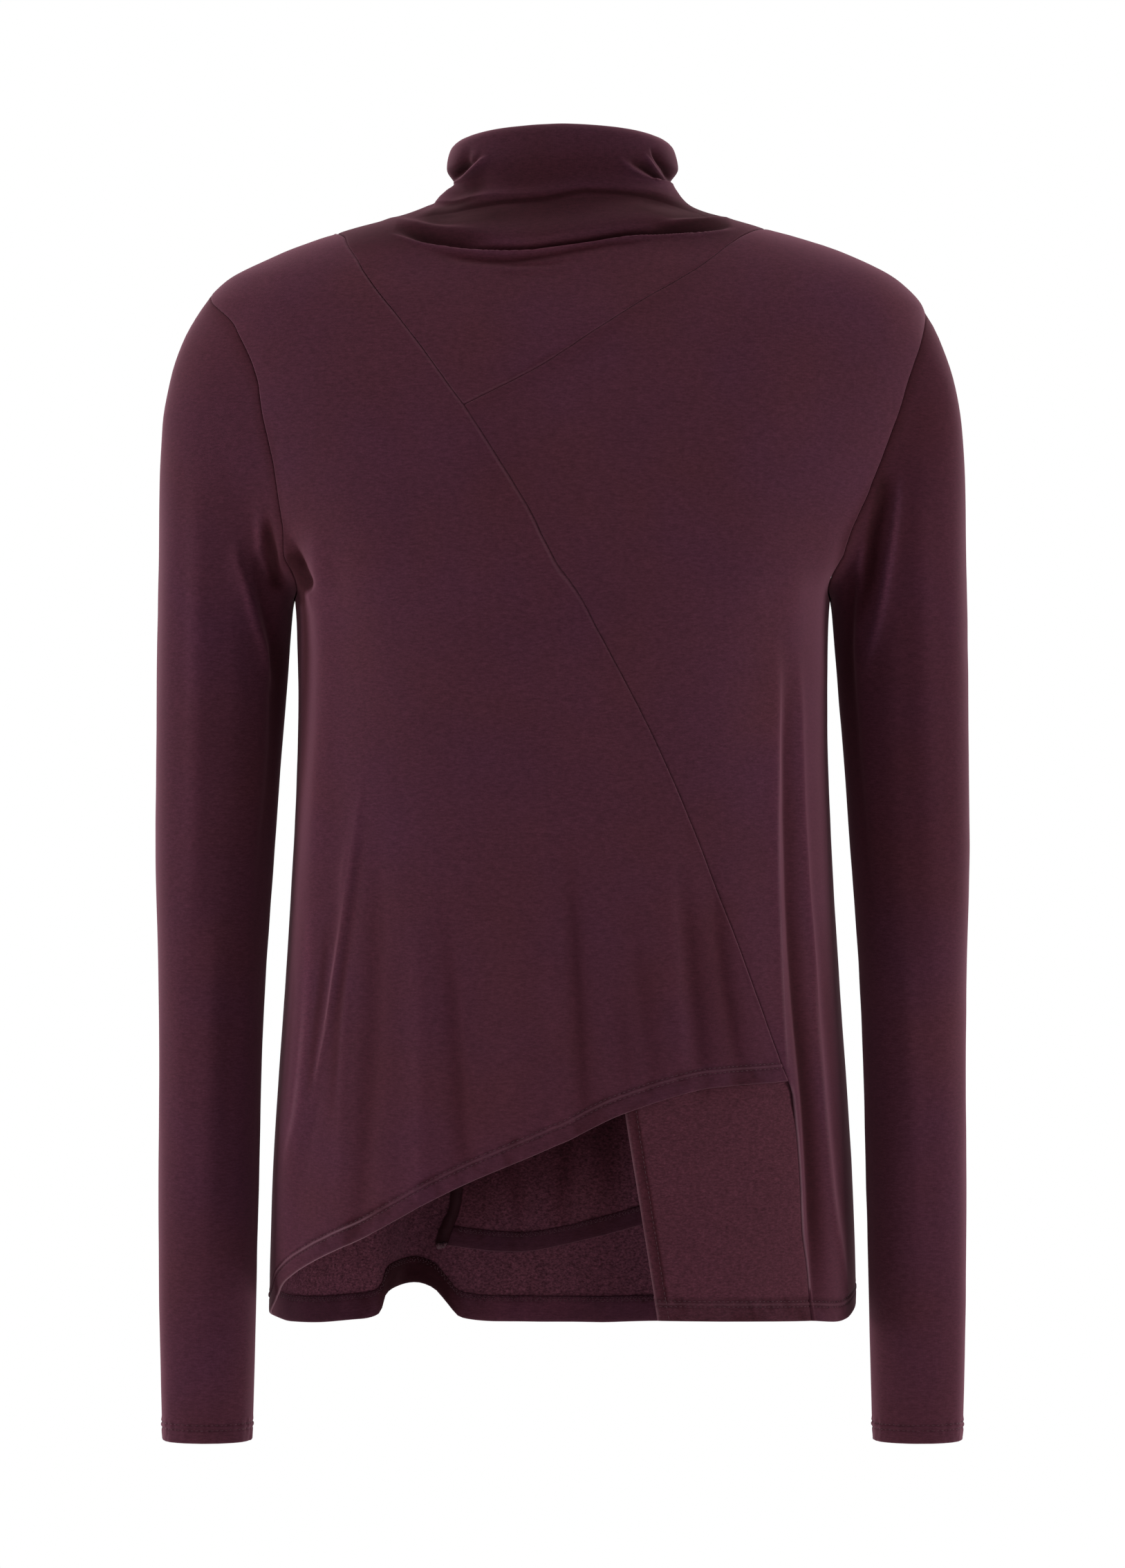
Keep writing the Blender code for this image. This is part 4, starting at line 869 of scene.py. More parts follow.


# Jersey: fine slubs across, a faint rib of the knit and darker seams, with painted shade where it
# lies double and in its folds, painted highlights on rims and ridges, and painted sheen at a slant
jerseyLook = {
    "colour": (0.0560, 0.0152, 0.0232), "tint": (0.0520, 0.0145, 0.0282),
    "shadeColour": (0.0560, 0.0098, 0.0158), "seamColour": (0.0180, 0.0045, 0.0075),
    "rimColour": (0.3000, 0.1600, 0.1950),
    "slantSheenColour": (0.1500, 0.0600, 0.0840), "edge": 1.05,     # painted sheen: paler where seen at a slant
    "roughness": 0.80, "gloss": 0.06,
    "sheen": 0.10, "sheenRoughness": 0.45, "sheenTint": (0.78, 0.30, 0.38),
    # painted shade where the cloth lies double and in troughs, painted highlight on ridges
    "double": 0.26, "troughShade": 0.62, "ridgeHighlight": 0.42,
    # noises: lumps to a metre along each axis, detail
    "slubs": ((300.0, 300.0, 1000.0), 3.0), "flecks": ((900.0, 900.0, 1700.0), 1.0),
    "clouds": ((11.0, 11.0, 16.0), 2.0), "patches": ((15.0, 15.0, 15.0), 2.0),
    "dashes": ((620.0, 620.0, 620.0), 1.0), "markNoise": ((26.0, 26.0, 26.0), 1.0),
    "slub": 0.28, "cloud": 0.07, "hueSpread": 2.0,
    "bump": 0.34, "bumpDepth": 0.00012, "rib": 0.00062,       # one rib of the knit
}
# the wrong side: paler and grainier, partly its own colour and partly painted light on the inside
# of the top
wrongSideLook = dict(jerseyLook, colour=(0.0850, 0.0265, 0.0375), tint=(0.0780, 0.0240, 0.0400),
                     shadeColour=(0.0830, 0.0180, 0.0290), rimColour=(0.1100, 0.0480, 0.0640),
                     slubs=((560.0, 560.0, 800.0), 3.0), slub=0.78, bump=0.5)
flapLook = dict(jerseyLook, colour=(0.0560, 0.0156, 0.0228), tint=(0.0570, 0.0156, 0.0246),
                slubs=((420.0, 420.0, 1000.0), 3.0), slub=0.46)


def makeJersey(name, look):
    material = bpy.data.materials.new(name)
    material.use_nodes = True
    nodes, links = material.node_tree.nodes, material.node_tree.links
    shader = nodes["Principled BSDF"]
    shader.inputs["Roughness"].default_value = look["roughness"]
    shader.inputs["Specular IOR Level"].default_value = look["gloss"]
    shader.inputs["Sheen Weight"].default_value = look["sheen"]
    shader.inputs["Sheen Roughness"].default_value = look["sheenRoughness"]
    shader.inputs["Sheen Tint"].default_value = look["sheenTint"] + (1,)
    coords = nodes.new("ShaderNodeTexCoord")

    def noise(kind):
        scale, detail = look[kind]
        mapping = nodes.new("ShaderNodeMapping")
        mapping.inputs["Scale"].default_value = scale
        links.new(coords.outputs["Object"], mapping.inputs["Vector"])
        texture = nodes.new("ShaderNodeTexNoise")
        texture.inputs["Scale"].default_value = 1.0
        texture.inputs["Detail"].default_value = detail
        links.new(mapping.outputs["Vector"], texture.inputs["Vector"])
        return texture.outputs["Fac"]

    def calc(kind, first, second):
        node = nodes.new("ShaderNodeMath")
        node.operation = kind
        for socket, value in zip(node.inputs, (first, second)):
            if isinstance(value, (int, float)):
                socket.default_value = value
            else:
                links.new(value, socket)
        return node.outputs["Value"]

    def times(*values):
        product = values[0]
        for value in values[1:]:
            product = calc("MULTIPLY", product, value)
        return product

    def blend(factor, first, second):
        node = nodes.new("ShaderNodeMix")
        node.data_type = "RGBA"
        node.clamp_factor = True
        links.new(factor, node.inputs["Factor"])
        for socket, value in ((node.inputs[6], first), (node.inputs[7], second)):
            if isinstance(value, tuple):
                socket.default_value = value + (1,)
            else:
                links.new(value, socket)
        return node.outputs[2]

    def spread(factor, low, high):
        # from low to high round the middle of a noise
        return calc("ADD", times(calc("SUBTRACT", factor, 0.5), high - low), (low + high) / 2)

    def evenly(factor, share):
        return spread(factor, 1 - share, 1 + share)

    def mark(layer):
        node = nodes.new("ShaderNodeAttribute")
        node.attribute_name = layer
        return node.outputs["Fac"]

    slub = noise("slubs")
    # above its middle the attribute is painted shade, below it painted highlight
    depth = calc("SUBTRACT", times(mark("hollow"), 2.0), 1.0)
    deeper = calc("MAXIMUM", depth, 0.0)
    higher = calc("MAXIMUM", times(depth, -1.0), 0.0)
    strength = times(
        evenly(slub, 1.6 * look["slub"]), evenly(noise("clouds"), 1.5 * look["cloud"]),
        evenly(noise("flecks"), look["slub"]),
        calc("SUBTRACT", 1.0, times(mark("double"), look["double"])),
        calc("SUBTRACT", calc("ADD", 1.0, times(higher, look["ridgeHighlight"])),
             times(deeper, look["troughShade"])))
    hue = calc("ADD", times(calc("SUBTRACT", noise("patches"), 0.5), look["hueSpread"]), 0.5)
    hue = blend(deeper, blend(hue, look["colour"], look["tint"]), look["shadeColour"])
    scaled = nodes.new("ShaderNodeVectorMath")
    scaled.operation = "SCALE"
    links.new(hue, scaled.inputs[0])
    links.new(strength, scaled.inputs["Scale"])

    markNoise = noise("markNoise")
    inSeam = times(mark("seam"), times(spread(noise("dashes"), -0.9, 1.7), spread(markNoise, -0.3, 1.5)))
    onRim = times(mark("rim"), spread(markNoise, 0.1, 0.9))
    # painted sheen: paler at a slant, less so in painted shade
    slant = nodes.new("ShaderNodeLayerWeight")
    slant.inputs["Blend"].default_value = 0.5
    paintedSheen = times(calc("POWER", slant.outputs["Facing"], 3.0),
                    times(look["edge"], calc("SUBTRACT", 1.0, deeper)))
    colour = blend(paintedSheen, scaled.outputs["Vector"], look["slantSheenColour"])
    colour = blend(onRim, colour, look["rimColour"])
    colour = blend(inSeam, colour, look["seamColour"])
    links.new(colour, shader.inputs["Base Color"])

    knit = nodes.new("ShaderNodeTexWave")
    knit.wave_type = "BANDS"
    knit.bands_direction = "X"
    knit.inputs["Scale"].default_value = 0.314 / look["rib"]
    knit.inputs["Distortion"].default_value = 1.5
    knit.inputs["Detail"].default_value = 1.0
    links.new(coords.outputs["UV"], knit.inputs["Vector"])
    bump = nodes.new("ShaderNodeBump")
    bump.inputs["Strength"].default_value = look["bump"]
    bump.inputs["Distance"].default_value = look["bumpDepth"]
    links.new(calc("ADD", times(knit.outputs["Fac"], 0.35), slub), bump.inputs["Height"])
    links.new(bump.outputs["Normal"], shader.inputs["Normal"])
    return material


jersey = makeJersey("plumJersey", jerseyLook)
wrongSide = makeJersey("plumJerseyWrongSide", wrongSideLook)
flapJersey = makeJersey("plumJerseyFlap", flapLook)
both = (jersey, wrongSide)
print("jersey ready")

sewnSteps, freeSteps = cloth["seamSteps"], cloth["freeSteps"]

frontLeftCut = {
    "columns": 168, "rows": 158, "left": sewnSteps, "right": sewnSteps, "bottom": (0.0,),
    "top": sewnSteps, "sewn": ("left", "right", "top"), "hem": 0.0125, "raised": ("right",),
    "doubled": 0.5, "rimShare": 0.42, "rimLeft": 3.5, "sides": ("left",),
    "faint": {"right": 0.35}, "lips": {"right": 0.13}, "glints": True,
}


def buildFrontLeft():
    left = joined(lines["leftSide"], lines["leftArmFront"])
    right = joined(lines["wrapLower"][::-1], lines["wrapUpper"][::-1])
    bottom = stations(onFront(bodyLines["slantingHem"]), 14)
    shoulder = ((-quarter, lines["leftTip"]), (-quarter, bodyLines["wrapUpper"][0][1]))
    places = patchPlaces(left, right, bottom, stations(shoulder, 14),
                         bottomReach=cloth["frontHemReach"])
    return layPanel("frontLeft", "front_left", places, frontLeftCut, both)


frontRightCut = {
    "columns": 92, "rows": 160, "left": sewnSteps, "right": sewnSteps, "bottom": (0.0,),
    "top": sewnSteps, "sewn": ("left", "right", "top"), "hem": 0.0135,
    "doubled": 0.6, "rimShare": 0.45, "freeBelow": -0.4815, "sides": ("right",),
    "faint": {"top": 0.65, "left": 0.2}, "glints": True,
}


def buildFrontRight():
    left = joined(lines["rightEdge"][::-1], lines["wrapLower"][::-1])
    right = joined(lines["rightSide"], lines["rightArmFront"])
    shoulder = ((quarter, bodyLines["yoke"][-1][1]), (quarter, lines["rightTip"]))
    top = joined(lines["yoke"], stations(shoulder, 4))
    places = patchPlaces(left, right, stations(onFront(bodyLines["rightHem"]), 14), top, 4.0)
    return layPanel("frontRight", "front_right", places, frontRightCut, both)


neckCut = {
    "columns": 192, "rows": 200, "left": sewnSteps, "right": sewnSteps, "bottom": sewnSteps,
    "top": (0.0,), "sewn": ("left", "right", "bottom"), "yokeShare": 0.50,
    "faint": {"bottom": 0.5}, "lips": {"bottom": 0.12},
    "pointAt": (1 / 3, 0.41),       # the yoke's point: share of its seam, share of the turn
    "pull": 1.5,                    # how soon the level of the seam is left behind, going up
    "doubleFrom": -0.024,           # above this the roll and the collar lie double, and get painted shade
    "crowd": ((0, 0.11, 0.60, 0.84, 1), (0, 0.22, 0.50, 0.67, 1)),   # closest at the creases
    "tilt": (0.0045, 0.050),        # the roll lies lower at one side, and its painted shade with it: how far, over what width
    # height, and how much painted shade the cloth gets there, between the two creases
    "shadeTable": ((-0.032, 0.0), (-0.022, 0.20), (-0.016, 0.42), (-0.006, 0.62),
                   (0.006, 0.66), (0.010, 0.40), (0.015, 0.30), (0.022, 0.42), (0.028, 0.34),
                   (0.035, 0.10), (0.042, 0.0)),
}


def buildNeckYoke():
    bottom = joined(lines["wrapUpper"], lines["yoke"])
    lowShare = neckCut["yokeShare"]

    def places(u, v):
        edge = readEdge(bottom, u)
        turn = np.interp(u, (0, neckCut["pointAt"][0], 1), (0, neckCut["pointAt"][1], 1))
        side = bottom[0, 1] + (bottom[-1, 1] - bottom[0, 1]) * turn
        straight = -quarter + math.pi * turn
        t = np.clip(v / lowShare, -0.1, 1)
        drop = (1 - t) ** neckCut["pull"]
        level = side + (neckStart - side) * t + drop * (edge[..., 1] - side)
        angle = straight + drop * (edge[..., 0] - straight)
        above = np.clip((v - lowShare) / (1 - lowShare), 0, 1.1)
        return np.stack([angle, level + (neckEnd - neckStart) * above], axis=-1)

    def paintedShadeAt(x, z):
        # painted shade on the roll and collar, following its creases, which lie lower at the
        # wearer's right
        height, reach = neckCut["tilt"]
        level = z - height * np.clip(x / reach, -1, 1)
        return np.interp(level, *np.array(neckCut["shadeTable"]).T)

    return layPanel("neckYoke", "neck_yoke_front", places, dict(neckCut, paintedShadeAt=paintedShadeAt), both)


backCut = {
    "columns": 168, "rows": 196, "left": sewnSteps, "right": sewnSteps, "bottom": (0.0,),
    "top": (0.0,), "sewn": ("left", "right"), "hem": 0.0150, "doubleFrom": -0.004,
    "doubled": 0.3, "rimShare": 0.35, "sides": ("left", "right"),
    # painted shade low inside the left flute: its top and fade, the shade of the flute (amount, x,
    # width) and the painted highlight beside it (amount, x, fade)
    "fluteTop": (-0.545, 0.015), "fluteDeep": (0.5, -0.082, 0.014),
    "besideFlute": (0.9, -0.100, 0.012),
    # painted shade on the turned hem as seen from inside, by x; below zero, painted highlight
    "turnedShade": ((-0.165, 0.65), (-0.140, 0.75), (-0.108, 0.60), (-0.101, 1.0), (-0.066, 1.0),
                    (-0.058, 0.1), (-0.040, -0.8), (0.0, -0.6), (0.06, -0.3)),
}


def backEdge(name, side, start):
    shoulder = stations(((side * quarter, lines[name + "Tip"]), (side * quarter, start)), 5)
    neck = stations(((side * quarter, start), (side * quarter, neckStart)), 4)
    levels = np.linspace(neckStart, neckEnd, 12 * stepPlaces + 1)
    upper = np.stack([np.full_like(levels, side * quarter), levels], axis=1)
    edge = joined(lines[name + "Side"], lines[name + "ArmBack"], shoulder, neck, upper)
    if side < 0:
        edge[:, 0] += 2 * math.pi
    return edge


def buildBack():
    left = backEdge("right", 1, bodyLines["yoke"][-1][1])
    right = backEdge("left", -1, bodyLines["wrapUpper"][0][1])
    hem = smoothLine(onBack(bodyLines["backHem"])[::-1] * (angleScale, 1), 700) / (angleScale, 1)
    angles = np.linspace(quarter, 3 * quarter, 385)
    bottom = np.stack([angles, np.interp(angles, hem[:, 0], hem[:, 1])], axis=1)
    top = np.stack([angles, np.full_like(angles, neckEnd)], axis=1)
    places = patchPlaces(left, right, bottom, top, bottomReach=cloth["backHemReach"])

    def paintedShadeAt(x, z):
        # painted shade low inside the left flute, and a painted highlight beside it
        (top, fade), (deep, *flute) = backCut["fluteTop"], backCut["fluteDeep"]
        light, start, reach = backCut["besideFlute"]
        return smoothStep((top - z) / fade) * (deep * bell(x, *flute)
                                               - light * smoothStep((start - x) / reach))

    return layPanel("backPanel", "back", places, dict(backCut, paintedShadeAt=paintedShadeAt), both)


flapCut = {
    "columns": 60, "rows": 44, "right": (0.0,), "bottom": (0.0,), "top": (0.0,), "sewn": (),
    "left": freeSteps + (0.0062, 0.0070, 0.0074, 0.0078, 0.0082, 0.0086, 0.0090, 0.0094, 0.0102),
    "hem": 0.0135, "roll": {"left": 0.0006}, "inset": cloth["layerStep"],
    "doubled": 0.85, "rimShare": 0.5,
    "band": 0.0066, "bandMark": (0.75, 0.0006),     # the stitch line of its turned edge
    # painted shade on that strip, on its line, and on the hem
    "stripShade": 0.26, "stripWidth": 0.0078, "lineShade": (0.50, 0.0064, 0.0012),
    "hemTop": -0.5995, "hemShade": 0.14,
}


def buildUnderFlap():
    left = stations(onFront(((0.0526, -0.6113), (0.0440, -0.5567), (0.0344, -0.4975),
                             (0.0270, -0.4450))), 9)
    right = stations(onFront(((0.1436, -0.6150), (0.1384, -0.5667), (0.1350, -0.5200),
                              (0.1290, -0.4830), (0.1180, -0.4450))), 9)
    edge = bodyForm(left[:, 0], left[:, 1])[:, 0]

    def places(u, v):
        low, high = readEdge(left, v), readEdge(right, v)
        return low + (high - low) * u[..., None]

    def tuck(u, v):
        # it comes up close behind the free edge of the right front
        return -cloth["tuckStep"] * smoothStep((u - 0.6) / 0.4) * smoothStep((0.72 - v) / 0.1)

    def band(away):
        share, width = flapCut["bandMark"]
        return share * bell(away["left"], flapCut["band"], width)

    def paintedShadeAt(x, z):
        # painted shade on its turned hem and on the strip along its free edge
        strip = x - np.interp(z, left[:, 1], edge)
        share, *line = flapCut["lineShade"]
        shade = (flapCut["stripShade"] * smoothStep((flapCut["stripWidth"] - strip) / 0.0012)
                 + share * bell(strip, *line))
        hem = flapCut["hemShade"] * smoothStep((flapCut["hemTop"] - z) / 0.0015)
        return shade * smoothStep((z + 0.604) / 0.006) + hem

    cut = dict(flapCut, deeper=tuck, marks=band, paintedShadeAt=paintedShadeAt)
    return layPanel("underFlap", "front_underlap", places, cut, (flapJersey, wrongSide))


insideShade = {"deep": 0.74, "start": 0.002, "reach": 0.034}


def hemShade(x, z):
    # painted shadow on the inside of the back, where the slanting front hem would shade it
    edge = np.array(bodyLines["slantingHem"])
    below = np.interp(x, edge[:, 0], edge[:, 1]) - z
    return insideShade["deep"] * bell(np.maximum(below, insideShade["start"]),
                                      insideShade["start"], insideShade["reach"])


innerCut = {
    "columns": 104, "rows": 40, "left": (0.0,), "right": freeSteps, "bottom": (0.0,),
    "top": (0.0,), "sewn": (), "hem": 0.0125, "inset": cloth["layerStep"],
    "doubled": 0.9, "rimShare": 0.15,
}
# Painted shade on the soft folds inside the back: how much, then as the folds
innerPaintedShades = shadeRows(
    (0.4, 4, 5, ((-30, -535, 0.3), (-27, -552, 1), (-24, -575, 0.4))),
    (0.45, 5, 6, ((3, -520, 0.6), (1, -545, 1), (-1, -575, 0.6))),
    (0.4, 7, 9, ((26, -510, 0.6), (27, -540, 1), (29, -565, 0.3))),
)


def buildInnerBack():
    start = math.radians(92.5)
    seam = smoothLine(onBack(bodyLines["innerSeam"]), 200)
    hem = smoothLine(onBack(bodyLines["innerHem"]) * (angleScale, 1), 400) / (angleScale, 1)

    def places(u, v):
        right = readEdge(seam, v)
        left = np.stack([np.full_like(v, start), hem[0, 1] + (seam[-1, 1] - hem[0, 1]) * v], -1)
        at = left + (right - left) * u[..., None]
        straight = hem[0, 1] + (seam[0, 1] - hem[0, 1]) * u
        bend = np.interp(start + (seam[0, 0] - start) * u, hem[:, 0], hem[:, 1]) - straight
        at[..., 1] += bend * (1 - v)
        return at

    def paintedShadeAt(x, z):
        return hemShade(x, z) + layFolds(x, z, innerPaintedShades)[0]

    cut = dict(innerCut, paintedShadeAt=paintedShadeAt)
    return layPanel("innerBack", "back_inner", places, cut, both)


# Sleeve rings: outer x and height, inner x and height, half depth, middle y, and how much of
# the armhole's own shape is left
sleeveRings = (
    (0.2115, -0.0660, 0.1515, -0.2158, 0.0520, 0.0000, 0.72),
    (0.2195, -0.0880, 0.1520, -0.2190, 0.0500, 0.0000, 0.45),
    (0.2245, -0.1150, 0.1526, -0.2250, 0.0490, -0.0005, 0.24),
    (0.2264, -0.1500, 0.1537, -0.2370, 0.0485, -0.0010, 0.09),
    (0.2268, -0.1900, 0.1550, -0.2550, 0.0475, -0.0020, 0.0),
    (0.2275, -0.2350, 0.1570, -0.2830, 0.0460, -0.0040, 0.0),
    (0.2281, -0.2900, 0.1598, -0.3200, 0.0430, -0.0070, 0.0),
    (0.2284, -0.3500, 0.1632, -0.3700, 0.0395, -0.0105, 0.0),
    (0.2267, -0.4250, 0.1670, -0.4350, 0.0360, -0.0150, 0.0),
    (0.2260, -0.5100, 0.1694, -0.5150, 0.0325, -0.0200, 0.0),
    (0.2256, -0.6000, 0.1715, -0.6020, 0.0285, -0.0245, 0.0),
    (0.2242, -0.6600, 0.1732, -0.6610, 0.0265, -0.0270, 0.0),
    (0.2235, -0.6840, 0.1738, -0.6840, 0.0260, -0.0280, 0.0),
)
sleeveCut = {
    "around": 120, "rows": 176, "squareness": 2.15, "armholeDepth": 0.0560, "hem": 0.0135,
    "doubled": 0.12, "doubleFade": 0.0020, "rimShare": 0.45,
    "needleDrop": 0.0010, "needleStray": 0.0007, "hemPress": 0.9, "seamMark": 0.8,
    # painted shade on the sleeve head, and on the upper part of the right sleeve
    "headShade": 0.14, "upperShade": {"left": 0.0, "right": 0.26},
    "seamShade": 0.35, "seamShadeReach": 0.0045,
    "underarm": (0.60, 0.25),       # how far round, and over what turn, the cloth is its own
    "bodyReach": 0.004,             # how far the way out of the body's cloth carries on
    "foldStart": 0.012,             # folds grow over this run below the armhole seam
    "foldFade": 0.35, "shadeFade": 0.20,
}


# Folds of each sleeve, as those of the body: front then back, x on the wearer's own side
sleeveFolds = {
    "left": (foldRows(
        (1.6, 6, 5, ((-205, -120, 0), (-204, -200, 1), (-205, -345, 0.8), (-207, -420, 0))),
        (1.4, 1.4, 2.2, ((-168, -160, 0), (-168, -175, 0.9), (-168, -188, 1), (-165.5, -196, 0.9),
            (-163, -206, 0)), 1.6),
        (-2, 3.4, 1.6, ((-165, -165, 0), (-163.5, -178, 1), (-160, -190, 1),
            (-156.5, -202, 0.4)), 1.6),
        (2, 1.8, 4, ((-181, -180, 0), (-180, -195, 0.9), (-176, -206, 1), (-172, -220, 1),
            (-168, -236, 1), (-164, -252, 0.8), (-161, -268, 0)), 1.5),
        (-3.2, 6, 3, ((-170, -185, 0), (-168, -205, 0.8), (-164, -225, 1), (-161, -245, 1),
            (-162, -290, 0.7), (-168, -360, 0.4), (-172, -420, 0))),
        (-0.5, 7, 7, ((-190, -130, 0), (-188, -240, 1), (-190, -380, 0.6), (-194, -470, 0))),
        (1, 6, 6, ((-194, -380, 0), (-197, -470, 1), (-200, -600, 0.5), (-201, -660, 0))),
        (-1, 5, 5, ((-182, -400, 0), (-186, -500, 1), (-190, -620, 0.3))),
    ), foldRows(
        (-1.8, 6, 8, ((-170, -180, 0.2), (-178, -250, 1), (-188, -330, 0))),
        (1.6, 7, 7, ((-196, -120, 0), (-198, -240, 1), (-200, -350, 0))),
        (-1.4, 4, 7, ((-168, -368, 0), (-190, -380, 1), (-216, -372, 0))),
        (-1.1, 4, 6, ((-174, -405, 0), (-196, -414, 1), (-220, -402, 0))),
    )),
    "right": (foldRows(
        (0.7, 5, 5, ((200, -130, 0), (202, -230, 1), (206, -360, 0.5), (207, -440, 0))),
        (-2, 3, 2.6, ((178.5, -145, 0), (177.5, -157, 0.8), (174, -172, 1), (171, -190, 1),
            (169, -206, 0.3))),
        (1.4, 2.6, 2.6, ((168, -180, 0), (165, -194, 1), (163, -206, 0))),
        (-3, 2.6, 5, ((162, -195, 0), (161, -212, 1), (160, -240, 1), (163, -280, 0.6),
            (169, -350, 0.4), (175, -410, 0))),
        (2, 3, 2.4, ((188, -145, 0), (185, -170, 0.8), (181, -196, 1), (177.5, -218, 1),
            (171.5, -244, 0.6), (166, -264, 0)), 1.6),
        (-0.6, 7, 6, ((190, -150, 0), (190, -270, 1), (195, -400, 0.7), (199, -500, 0))),
        (1, 6, 6, ((192, -400, 0), (196, -520, 1), (199, -640, 0.2))),
    ), foldRows(
        (-1.8, 7, 7, ((168, -180, 0.2), (176, -260, 1), (190, -340, 0))),
        (1.5, 7, 7, ((196, -120, 0), (198, -250, 1), (202, -350, 0))),
        (-1.3, 7, 4, ((170, -376, 0), (194, -388, 1), (218, -376, 0))),
        (-1, 6, 4, ((176, -412, 0), (198, -424, 1), (220, -416, 0))),
    )),
}


# Painted shade (painted highlight where it is -) on the front of a sleeve, as colour alone
sleevePaintedShades = {
    "left": shadeRows(
        (-1, 1, 1.2, ((-169, -168, 0), (-169.3, -178, 1), (-169, -187, 0.3))),
        (0.9, 3.5, 3.5, ((-165.5, -170, 0), (-164, -180, 0.8), (-162, -192, 1), (-159.5, -206, 1))),
        (-1, 1.2, 1.6, ((-180, -192, 0), (-176.5, -212, 0.8), (-172.2, -230, 1),
            (-166.5, -248, 0.6), (-163, -260, 0))),
        (0.5, 5, 5, ((-160, -225, 0), (-157, -255, 1), (-160, -300, 0.6), (-165, -360, 0))),
    ),
    "right": shadeRows(
        (0.85, 4, 3.2, ((180, -142, 0), (176.5, -160, 0.9), (172.8, -180, 1), (170.5, -205, 0.8),
            (165, -225, 0.3))),
        (-1, 1.4, 1.4, ((188.5, -142, 0), (185.5, -170, 0.8), (181.5, -196, 1), (178, -218, 1),
            (172, -244, 0.5))),
        (0.3, 5, 5, ((160, -225, 0), (160, -255, 1), (162, -300, 0.6), (166, -360, 0))),
    ),
}


def sleeveRing(outer, inner, halfDepth, middleY, side, turn):
    # from the outer point round by the front, the inner point and the back
    power = 2 / sleeveCut["squareness"]
    cosine = (np.sign(np.cos(turn)) * np.abs(np.cos(turn)) ** power)[:, None]
    sine = (np.sign(np.sin(turn)) * np.abs(np.sin(turn)) ** power)[:, None]
    outer = np.array((outer[0] * side, middleY, outer[1]))
    inner = np.array((inner[0] * side, middleY, inner[1]))
    return (outer + inner) / 2 + cosine * (outer - inner) / 2 - sine * (0, halfDepth, 0)


def sleeveForm(name, side):
    # its armhole ring, the way out of the body there, and rings on down to the cuff
    around = sleeveCut["around"]
    share = np.linspace(0, 1, around + 1)
    places = readEdge(joined(lines[name + "ArmFront"][::-1], lines[name + "ArmBack"]), share)
    ring = bodyForm(places[:, 0], places[:, 1])
    bodyOut = bodyNormal(places[:, 0], places[:, 1])
    ring = ring + bodyOut * bodyFolds(ring, places[:, 0])[0][:, None]
    turn = 2 * math.pi * share
    top, low = ring[0], ring[around // 2]
    standIn = sleeveRing((top[0] * side, top[2]), (low[0] * side, low[2]),
                         sleeveCut["armholeDepth"], 0.0, side, turn)
    rings = [ring]
    for outerX, outerZ, innerX, innerZ, halfDepth, middleY, kept in sleeveRings:
        plain = sleeveRing((outerX, outerZ), (innerX, innerZ), halfDepth, middleY, side, turn)
        rings.append(plain + kept * (ring - standIn))
    rings = np.array(rings)
    run = runAlong(rings.mean(axis=1))
    run /= run[-1]

    def form(u, v):
        column = np.rint(u * around).astype(int) % (around + 1)
        made = np.empty(u.shape + (3,))
        for c in np.unique(column):
            here = column == c
            made[here] = smoothValues(run, rings[:, c], v[here])
        return made

    return form, share, turn, bodyOut


def sleeveColour(name, x, z, folded, normals, fromTop):
    # painted shade and highlight of the folds and on the front, painted shade on the head, along
    # its seam and on the upper right sleeve
    hollow = folded + layFolds(x, z, sleevePaintedShades[name])[0] * smoothStep(
        -normals[..., 1] / sleeveCut["shadeFade"])
    hollow += sleeveCut["headShade"] * smoothStep((0.080 - fromTop) / 0.070)
    hollow += sleeveCut["seamShade"] * bell(fromTop, 0, sleeveCut["seamShadeReach"])
    hollow += sleeveCut["upperShade"][name] * smoothStep((z + 0.44) / 0.10)
    return (np.clip(hollow, -1, 1) + 1) / 2


